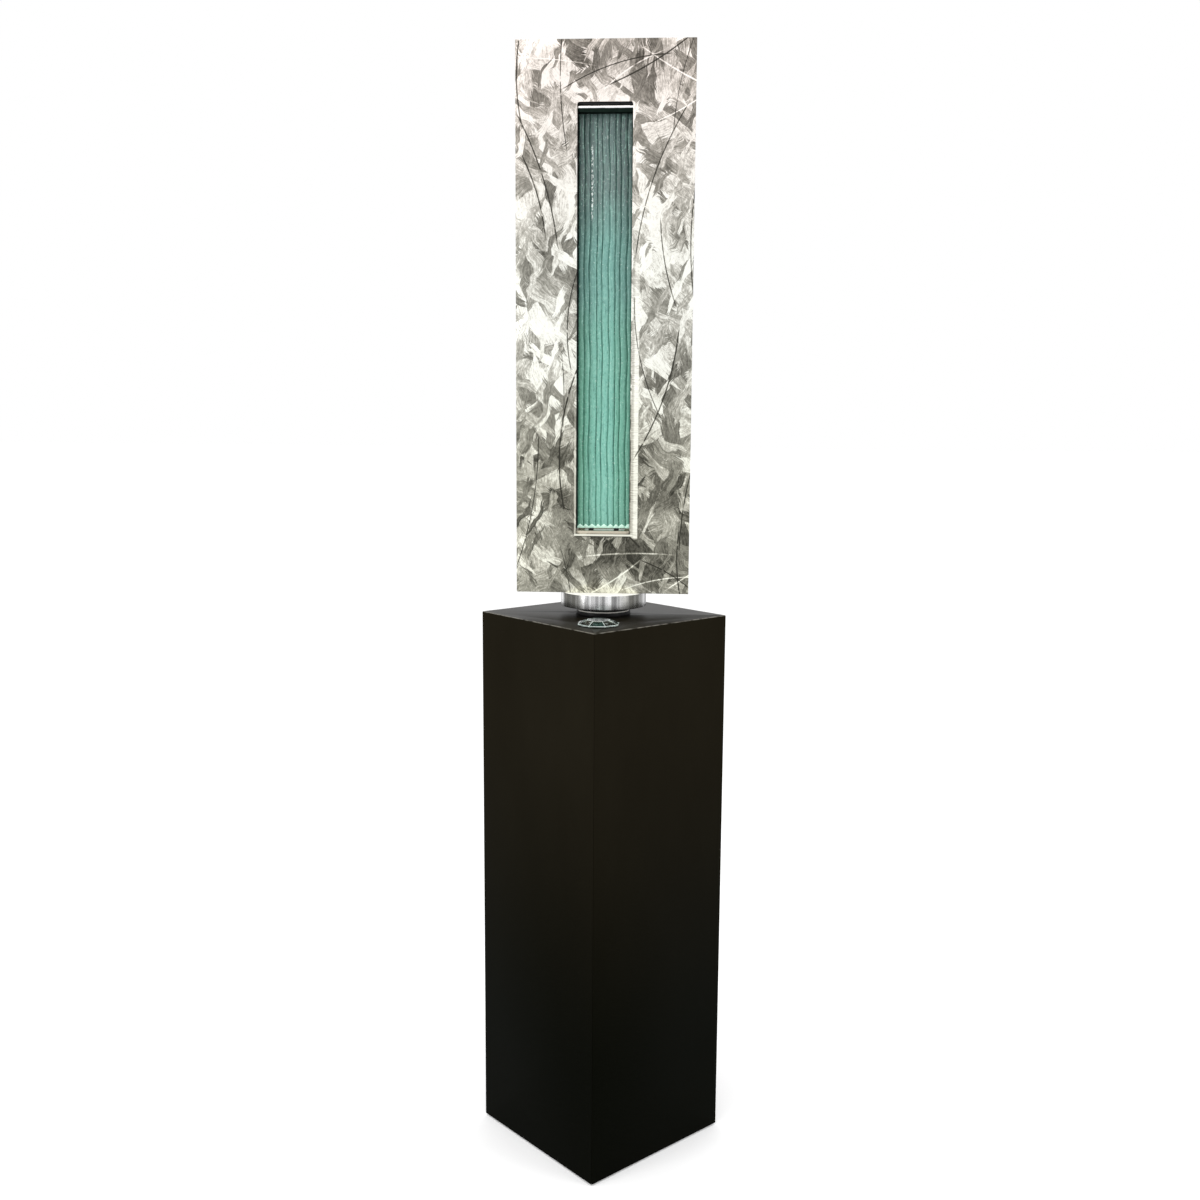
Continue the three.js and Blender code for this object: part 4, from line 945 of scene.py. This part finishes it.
print("softened nodes:", len(kept), "with a round:", len(WIDTH_OF))

# %% [markdown]
# ## Rows of points into a skin
#
# The finer pieces are mostly made the same way: rows of points, each row as long as the next, are skinned with
# four-sided faces. Rows can close on themselves for a turned piece, and the end rows can be filled for a cap.

# %% Skinning helper
def blank(name, slot_name):
    """An empty piece in the finish of a slot."""
    piece = new_object(name, bpy.data.meshes.new(name))
    piece.data.materials.append(FINISHES[slot_name])
    return piece


def new_piece(name, body, replaced, slot_name):
    piece = blank(name, slot_name)
    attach(piece, body)
    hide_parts(replaced)
    return piece


def skin(rows, close_rows=False, close_columns=False, cap_ends=False):
    """A bmesh over rows of points."""
    bm = bmesh.new()
    grid = [[bm.verts.new(point) for point in row] for row in rows]
    across = len(grid[0])
    for r in range(len(grid) if close_columns else len(grid) - 1):
        here, there = grid[r], grid[(r + 1) % len(grid)]
        for c in range(across if close_rows else across - 1):
            d = (c + 1) % across
            bm.faces.new((here[c], here[d], there[d], there[c]))
    if cap_ends:
        bm.faces.new(list(reversed(grid[0])))
        bm.faces.new(grid[-1])
    bmesh.ops.recalc_face_normals(bm, faces=bm.faces[:])
    return bm


def settle(bm, piece, sharp):
    """Writes the bmesh to the piece, smooth shaded, with edges above the sharp angle kept crisp."""
    for face in bm.faces:
        face.smooth = True
    for edge in bm.edges:
        if len(edge.link_faces) == 2 and edge.calc_face_angle(0) > math.radians(sharp):
            edge.smooth = False
    bm.to_mesh(piece.data)
    bm.free()
    print(piece.name, "faces:", len(piece.data.polygons))


def turned_rows(profile, axis_point, count, along=Z):
    """Rows for a piece turned about an axis through axis_point. The profile holds (radius, height) pairs."""
    rows = []
    for i in range(count):
        angle = 2 * math.pi * i / count
        row = []
        for radius, height in profile:
            flat = (radius * math.cos(angle), radius * math.sin(angle))
            if along == Z:
                row.append(Vector((axis_point[0] + flat[0], axis_point[1] + flat[1], height)))
            else:
                row.append(Vector((height, axis_point[1] + flat[0], axis_point[2] + flat[1])))
        rows.append(row)
    return rows


CORNER_STEPS = 3


def rounded(corners, radius):
    """A closed (radius, height) profile with each corner rounded."""
    points = []
    for i, corner in enumerate(corners):
        here = Vector(corner)
        before = Vector(corners[i - 1]) - here
        after = Vector(corners[(i + 1) % len(corners)]) - here
        reach = min(radius, before.length * 0.45, after.length * 0.45)
        start, end = here + before.normalized() * reach, here + after.normalized() * reach
        for k in range(CORNER_STEPS + 1):
            t = k / CORNER_STEPS
            points.append(tuple(start * (1 - t) ** 2 + here * 2 * t * (1 - t) + end * t ** 2))
    return points


# %% [markdown]
# ## The rippled glass
#
# Nine round ribs run down the strip's front, but neither the ribs nor the flat back are true. They swell, lean
# and ripple by fractions of a millimetre, and water running down sharpens the ripples. A grid of points makes the
# ribs, and layered noise, stretched along the height, adds the ripple, always inwards so that the glass keeps its
# size.

# %% Make the glass
RIB_DEPTH = 3.0 * MM
RIPPLE_DEPTH = 1.1 * MM
ROWS_UP, POINTS_PER_RIB, BACK_POINTS = 300, 10, 24


def make_glass():
    piece = new_piece("rippled_glass", "head", "glass_panel", "reeded_glass")
    (x0, x1), (y0, y1), (z0, z1) = GLASS_X, GLASS_Y, GLASS_Z
    width = x1 - x0

    def ripple(x, z, side):
        slow = noise.noise(Vector((x * 45 + side * 7, side * 3.1, z * 14)))
        quick = noise.noise(Vector((x * 190, side * 5.7, z * 75)))
        fine = noise.noise(Vector((x * 420, side * 9.3, z * 210)))
        return (0.5 + 0.5 * (0.5 * slow + 0.34 * quick + 0.16 * fine)) * RIPPLE_DEPTH

    rows = []
    for r in range(ROWS_UP + 1):
        z = z0 + (z1 - z0) * r / ROWS_UP
        edges = [edge + sway(z) * share for edge, share in zip(RIB_EDGES, RIB_SWAY)]
        # The rib ends are rounded over at the top and the foot.
        end = max(0.0, 1 - min(z - z0, z1 - z) / (5 * MM))
        round_over = (1 - math.sqrt(max(0.0, 1 - end ** 2))) * 0.8
        row = []
        for rib in range(RIBS):
            for c in range(POINTS_PER_RIB if rib < RIBS - 1 else POINTS_PER_RIB + 1):
                phase = c / POINTS_PER_RIB
                x = x0 + width * (edges[rib] + (edges[rib + 1] - edges[rib]) * phase)
                rise = math.sqrt(max(0.0, 1 - (2 * abs(phase - 0.5)) ** 2.2))
                y = y0 + RIB_DEPTH * (1 - rise * (1 - round_over)) + ripple(x, z, 0) * (1 - end)
                row.append(Vector((x, min(max(y, y0), y0 + RIB_DEPTH + 1.2 * MM), z)))
        for c in range(BACK_POINTS + 1):
            x = x1 + (x0 - x1) * c / BACK_POINTS
            row.append(Vector((x, y1 - ripple(x, z, 1) * 0.7, z)))
        rows.append(row)
    settle(skin(rows, close_rows=True, cap_ends=True), piece, sharp=50)


make_glass()

# %% [markdown]
# ## The turned disc and the turntable
#
# The disc under the head was turned from a solid aluminium bar: its side keeps the lathe's sheen, and both rims
# are softened. The turntable below is two dark steel rings with a thin slippery washer between them. The disc and
# the rings are turned again here with enough facets for a clean outline and with true rounds on their rims.

# %% Turn the disc and the rings
RING_FACETS = 160
SPINDLE_GAP = 0.3 * MM


def turned_ring(name, body, replaced, bore, rim):
    slot_name = SLOT_OF[replaced]
    piece = new_piece(name, body, replaced, slot_name)
    (x0, x1), (z0, z1) = span(replaced, X), span(replaced, Z)
    outer = (x1 - x0) / 2
    profile = rounded([(bore, z0), (outer, z0), (outer, z1), (bore, z1)], rim)
    rows = turned_rows(profile, (0.0, 0.0), RING_FACETS)
    settle(skin(rows, close_rows=True, close_columns=True), piece, sharp=40)


SPINDLE_BORE = span("spindle", X)[1] + SPINDLE_GAP
turned_ring("turned_disc", "head", "base_disc", SPINDLE_BORE, 0.9 * MM)
turned_ring("upper_turntable_ring", "head", "turntable_upper_ring", SPINDLE_BORE, 0.5 * MM)
turned_ring("lower_turntable_ring", "pedestal", "turntable_lower_ring", SPINDLE_BORE, 0.5 * MM)

# %% [markdown]
# ## The spreader tube
#
# A polished tube across the top of the slot spreads the water over the width of the glass. Its near end is spun
# closed to a soft dome. Only its front shows, as one bright bar, so its outline and reflections have to be clean.

# %% Draw the tube
TUBE_WALL = 1.5 * MM
TUBE_FACETS = 64


def make_spreader():
    piece = new_piece("polished_spreader", "head", "spreader_tube", "chrome")
    x0, x1 = span("spreader_tube", X)
    (y0, y1), (z0, z1) = span("spreader_tube", Y), span("spreader_tube", Z)
    outer = (y1 - y0) / 2
    inner = outer - TUBE_WALL
    middle = (0.0, (y0 + y1) / 2, (z0 + z1) / 2)
    profile = [(0.05 * MM, x0)]
    for i in range(1, 9):
        angle = math.pi / 2 * i / 8
        profile.append((math.sin(angle) * outer, x0 + (1 - math.cos(angle)) * outer * 0.5))
    profile += [(outer, x1 - 0.4 * MM), (outer - 0.4 * MM, x1), (inner, x1)]
    profile += [(inner, x0 + outer), (0.05 * MM, x0 + outer)]
    rows = turned_rows(profile, middle, TUBE_FACETS, along=X)
    settle(skin(rows, close_columns=True), piece, sharp=40)


make_spreader()

# %% [markdown]
# ## The cut stopper
#
# The filling port is closed by a piece of clear glass, cut like a flat gem: an eight-sided table, eight sloping
# facets round it down to an upright girdle, and a slightly smaller flat base. The convex hull of rings of points
# gives such flat facets. Where two of them meet, the cutter's wheel leaves a narrow frosted line. It is bevelled
# in with its own finish, painted near white as a painted highlight, and it makes the cut show.

# %% Cut the stopper
FACETS = 8
FACET_EDGE = 0.45 * MM


def make_stopper():
    piece = new_piece("cut_glass_stopper", "stopper", "glass_jewel", "clear_glass")
    piece.data.materials.append(FROSTED_EDGE_HIGHLIGHTS)
    (x0, x1), (y0, y1), (z0, z1) = (span("glass_jewel", axis) for axis in (X, Y, Z))
    middle = Vector(((x0 + x1) / 2, (y0 + y1) / 2, z0))
    radius, height = (x1 - x0) / 2, z1 - z0
    rings = [(0.93, 0.0), (1.0, 0.18), (1.0, 0.34), (0.535, 1.0)]
    bm = bmesh.new()
    for share, rise in rings:
        for i in range(FACETS):
            angle = 2 * math.pi * (i + 0.5) / FACETS
            x, y = math.cos(angle) * share * radius, math.sin(angle) * share * radius
            bm.verts.new(middle + Vector((x, y, rise * height)))
    made = bmesh.ops.convex_hull(bm, input=bm.verts[:])
    inside = made["geom_interior"] + made["geom_unused"]
    loose = [item for item in inside if isinstance(item, bmesh.types.BMVert)]
    bmesh.ops.delete(bm, geom=loose, context="VERTS")
    bmesh.ops.dissolve_limit(bm, angle_limit=math.radians(0.5), verts=bm.verts[:], edges=bm.edges[:])
    edge = {"segments": 1, "affect": "EDGES", "profile": 0.5, "material": 1}
    bmesh.ops.bevel(bm, geom=bm.edges[:], offset=FACET_EDGE, **edge)
    bmesh.ops.recalc_face_normals(bm, faces=bm.faces[:])
    bm.to_mesh(piece.data)
    bm.free()
    print(piece.name, "facets:", len(piece.data.polygons))


make_stopper()

# %% [markdown]
# ## The hose and the lead that twist with the head
#
# The head turns on its plinth, and two soft pieces follow it: the hose that feeds the riser and the flexible tail
# of the light. Their lower ends stay with the plinth and their upper ends turn with the head, so every point in
# between turns by a share that grows with its height. The solids already have the right route; their points are
# only welded and shaded smooth.

# %% Smooth and twist
STILL_BELOW, TURNED_ABOVE = 0.12, 0.98


def twisting_piece(name, replaced):
    slot_name = SLOT_OF[replaced]
    piece = blank(name, slot_name)
    bm = bmesh.new()
    bm.from_mesh(nodes[replaced].data)
    bmesh.ops.remove_doubles(bm, verts=bm.verts[:], dist=0.00002)
    settle(bm, piece, sharp=45)
    for attribute in [a.name for a in piece.data.attributes if a.name in ("custom_normal", "sharp_face")]:
        piece.data.attributes.remove(piece.data.attributes[attribute])
    low, high = span(replaced, Z)
    start = (0.0, 0.0, low + (high - low) * STILL_BELOW)
    end = (0.0, 0.0, low + (high - low) * TURNED_ABOVE)
    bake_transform(piece, "pedestal", "head", start=start, end=end)
    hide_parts(replaced)


twisting_piece("feed_hose", "supply_hose")
twisting_piece("light_flex", "light_tail")
